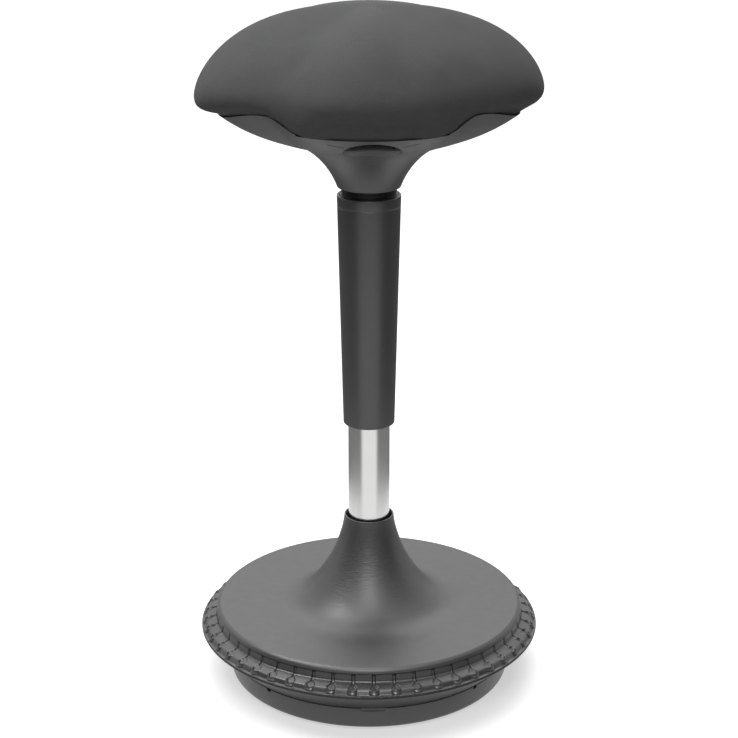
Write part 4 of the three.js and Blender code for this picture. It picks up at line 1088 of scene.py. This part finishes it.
softened("lever_grip", "finger_grip", 0.9, black_finish, "black_plastic", "release_lever")
softened("release_lever", "lever_arm", 0.3, steel_finish, "steel", "release_lever")

# %% [markdown]
# ## Cushion
# The seat is a block of moulded foam in a tight stretch cover: a low dome that runs out into four
# lobes, drawn in between them where the cover is pulled under the rim. A lofted form gives the
# measured shape. A cloth simulation with some pressure inside then lets the cover find its own
# tension, with its hem held fast, and the distance that a point may move is capped so that the outline
# stays true to the measurements.

# %% The cushion's form
lobe_radius, lobe_height, crown_height, cover_edge = 198.4, 741.0, 822.4, 705.6


def lobe_turn(angle):
    """The front lobe is narrower than the side lobes: its valleys lie 37 degrees off the middle."""
    off = (math.degrees(angle) + 90 + 180) % 360 - 180
    size = abs(off)
    if size < 37:
        size = size * 45 / 37
    elif size < 90:
        size = 45 + (size - 37) * 45 / 53
    return math.radians(math.copysign(size, off) - 90)


def cushion_line(angle, inset, rows=26, tuck_rows=12):
    """From the crown over the widest line to the tucked edge."""
    wave = 0.5 - 0.5 * math.cos(4 * lobe_turn(angle))
    back = float(smooth_step(0.0, 0.7, math.sin(angle)))
    low_valley, high_valley = wave ** 2.4, wave ** 0.76 * (1 - back) + 0.45 * back
    tip = abs(math.cos(angle)) ** 10
    widest = lobe_height - 15.0 * tip
    top = crown_height - inset
    edge = cover_edge + rim_rise(angle) + inset
    line = []
    for k in range(rows + 1):
        rise = (1 - k / rows) * math.pi / 2
        share = abs(math.cos(rise)) ** 3
        valley = low_valley * share + high_valley * (1 - share)
        radius = (lobe_radius - 23.2 * valley) * depth_at(angle) - inset
        out = radius * abs(math.cos(rise)) ** (0.763 + 0.58 * high_valley)
        line.append((out, widest + (top - widest) * math.sin(rise) ** (1.2 - 0.08 * high_valley)))
    side = line[-1][0]
    rim = (shell_rim_radius - 6.0 * valley_at(angle)) * depth_at(angle)
    edge_radius = (rim - 3.5) * (1 - low_valley) + max(rim - 2.0, side - 8.0) * low_valley
    fold_radius, fold = edge_radius + 1.5, edge + 8.0 - 4.0 * tip
    steep = 0.95 + 0.55 * (1 - low_valley) * (1 - tip)
    for k in range(1, tuck_rows + 1):
        turn = k / tuck_rows * math.pi / 2
        across, down = abs(math.cos(turn)) ** steep, math.sin(turn) ** steep
        line.append((fold_radius + (side - fold_radius) * across, widest - (widest - fold) * down))
    for share in (0.35, 0.7, 1.0):
        line.append((fold_radius + (edge_radius - fold_radius) * share, fold + (edge - fold) * share))
    return line


start_inset, cushion_floor = -1.6, 708.0


def closed_cushion_line(angle):
    crown = (0, crown_height - start_inset)
    return [crown, *cushion_line(angle, start_inset)[1:], (0, cushion_floor)]


cushion = lofted("seat_cushion", closed_cushion_line, fabric_finish, 160, None)
remesh = cushion.modifiers.new("even_mesh", "REMESH")
remesh.mode, remesh.voxel_size = "VOXEL", 0.005
apply_modifiers(cushion)
print("cushion form:", len(cushion.data.vertices), "points")

# %% Pressure under the cover
def swell(piece, cap, hem_height, pressure=4.0, frames=20):
    """Blows the piece up as cloth, holds its hem and caps how far a point may move."""
    scene = bpy.context.scene
    start = np.array([v.co[:] for v in piece.data.vertices])
    held = piece.vertex_groups.new(name="hem")
    held.add([i for i, p in enumerate(start) if p[2] < hem_height], 1.0, "REPLACE")
    cloth = piece.modifiers.new("cover", "CLOTH")
    cloth.settings.use_pressure = True
    cloth.settings.uniform_pressure_force = pressure
    cloth.settings.vertex_group_mass = "hem"
    cloth.settings.tension_stiffness = 12
    cloth.settings.compression_stiffness = 12
    cloth.settings.effector_weights.gravity = 0
    cloth.point_cache.frame_start, cloth.point_cache.frame_end = 1, frames
    for number in range(1, frames + 1):
        scene.frame_set(number)
    depsgraph = bpy.context.evaluated_depsgraph_get()
    blown = np.array([v.co[:] for v in piece.evaluated_get(depsgraph).data.vertices])
    piece.modifiers.clear()
    piece.vertex_groups.clear()
    scene.frame_set(1)
    move = blown - start
    length = np.linalg.norm(move, axis=1, keepdims=True)
    move *= np.minimum(1.0, cap / np.maximum(length, 1e-9))
    piece.data.vertices.foreach_set("co", (start + move).ravel())
    piece.data.update()
    print("the cover moved", round(float(np.linalg.norm(move, axis=1).max()) / mm, 2), "mm at most")


swell(cushion, 0.002, 0.709)

# %% The lobes' hang, a finer mesh and the room for the board
points = np.array([v.co[:] for v in cushion.data.vertices])
lift = np.where(points[:, 0] > 0, 0.0035, 0.006) * np.clip(points[:, 0] / 0.198, -1, 1) ** 3
points[:, 2] += lift * smooth_step(0.704, 0.722, points[:, 2])
cushion.data.vertices.foreach_set("co", points.ravel())
relax = cushion.modifiers.new("relax", "SMOOTH")
relax.factor, relax.iterations = 0.5, 4
finer = cushion.modifiers.new("finer", "SUBSURF")
finer.levels = finer.render_levels = 1
apply_modifiers(cushion)


def resting_height(angle, radius):
    """Where the hem lies: on the wavy rim, or lower in the recess over the finger opening."""
    x = radius * math.cos(angle)
    if math.sin(angle) < 0 and abs(x) < 84:
        return recess_floor(x) + 0.7 * (x / 84) ** 2
    return shell_rim_height + rim_rise(angle)


def press_on_rim(piece, fit=-0.7, reach=14.0, sectors=144):
    """Lowers the hem, sector by sector, until it lies on the shell's rim all round."""
    points = np.array([v.co[:] for v in piece.data.vertices]) / mm
    turn = np.arctan2(points[:, 1], points[:, 0])
    out = np.hypot(points[:, 0], points[:, 1])
    middle = np.array([-math.pi + (k + 0.5) * 2 * math.pi / sectors for k in range(sectors)])
    lip = np.array([(shell_rim_radius - 6.0 * valley_at(a)) * depth_at(a) for a in middle])
    rim = np.array([resting_height(a, radius) for a, radius in zip(middle, lip)])
    sector = np.clip(((turn + math.pi) / (2 * math.pi) * sectors).astype(int), 0, sectors - 1)
    gap = np.zeros(sectors)
    for k in range(sectors):
        near = points[(sector == k) & (np.abs(out - lip[k] + 2) < 3), 2]
        low = near[near < rim[k] + 20]
        gap[k] = low.min() - rim[k] - fit if len(low) else 0.0
    wide = np.concatenate([gap[-2:], gap, gap[:2]])
    gap = np.convolve(wide, [0.1, 0.2, 0.4, 0.2, 0.1], "valid")
    here, rim_here = np.interp(turn, middle, gap, period=2 * math.pi), np.interp(turn, middle, rim, period=2 * math.pi)
    weight = 1 - smooth_step(rim_here, rim_here + reach, points[:, 2])
    points[:, 2] -= here * weight
    piece.data.vertices.foreach_set("co", (points * mm).ravel())
    piece.data.update()
    print("hem lowered by", round(float(gap.min()), 1), "to", round(float(gap.max()), 1), "mm")


press_on_rim(cushion)


def board_edge(angle):
    return (157.0 - 25.0 * valley_at(angle)) * depth_at(angle)


def board_room(angle):
    """The board's own space, a millimetre wider all round."""
    edge = board_edge(angle) + 1
    return [(0, 690.0), (edge, 690.0), (edge, 718.6), (0, 718.6)]


room = lofted("cutter", board_room, fabric_finish, 96, None)
carve(cushion, [room])
cushion.data.set_sharp_from_angle(angle=math.radians(60))
cushion.data.materials.clear()
cushion.data.materials.append(fabric_finish)
cushion.data.polygons.foreach_set("material_index", [0] * len(cushion.data.polygons))
place_piece(cushion, "seat", "fabric", "seat_cover", "seat_foam")

# %% [markdown]
# ## The pieces that stay as they are
# The rest of the stool is inside: ballast, hub, bearing, gas spring, mechanism and board. These CAD
# pieces keep their own meshes and only get the finish that their material asks for.

# %% Finishes for the CAD pieces
slot_finishes = {
    "cover_plastic": bell_finish, "dark_plastic": shell_finish, "black_plastic": black_finish,
    "black_paint": paint_finish, "rubber": pad_finish, "chrome": chrome_finish, "steel": steel_finish,
    "cast_iron": iron_finish, "fabric": fabric_finish, "foam": foam_finish, "wood": wood_finish,
}
for part in frame["record"]["subparts"]:
    mesh = nodes[part["node"]].data
    mesh.materials.clear()
    mesh.materials.append(slot_finishes[part["material_slot"]])
    mesh.polygons.foreach_set("material_index", [0] * len(mesh.polygons))
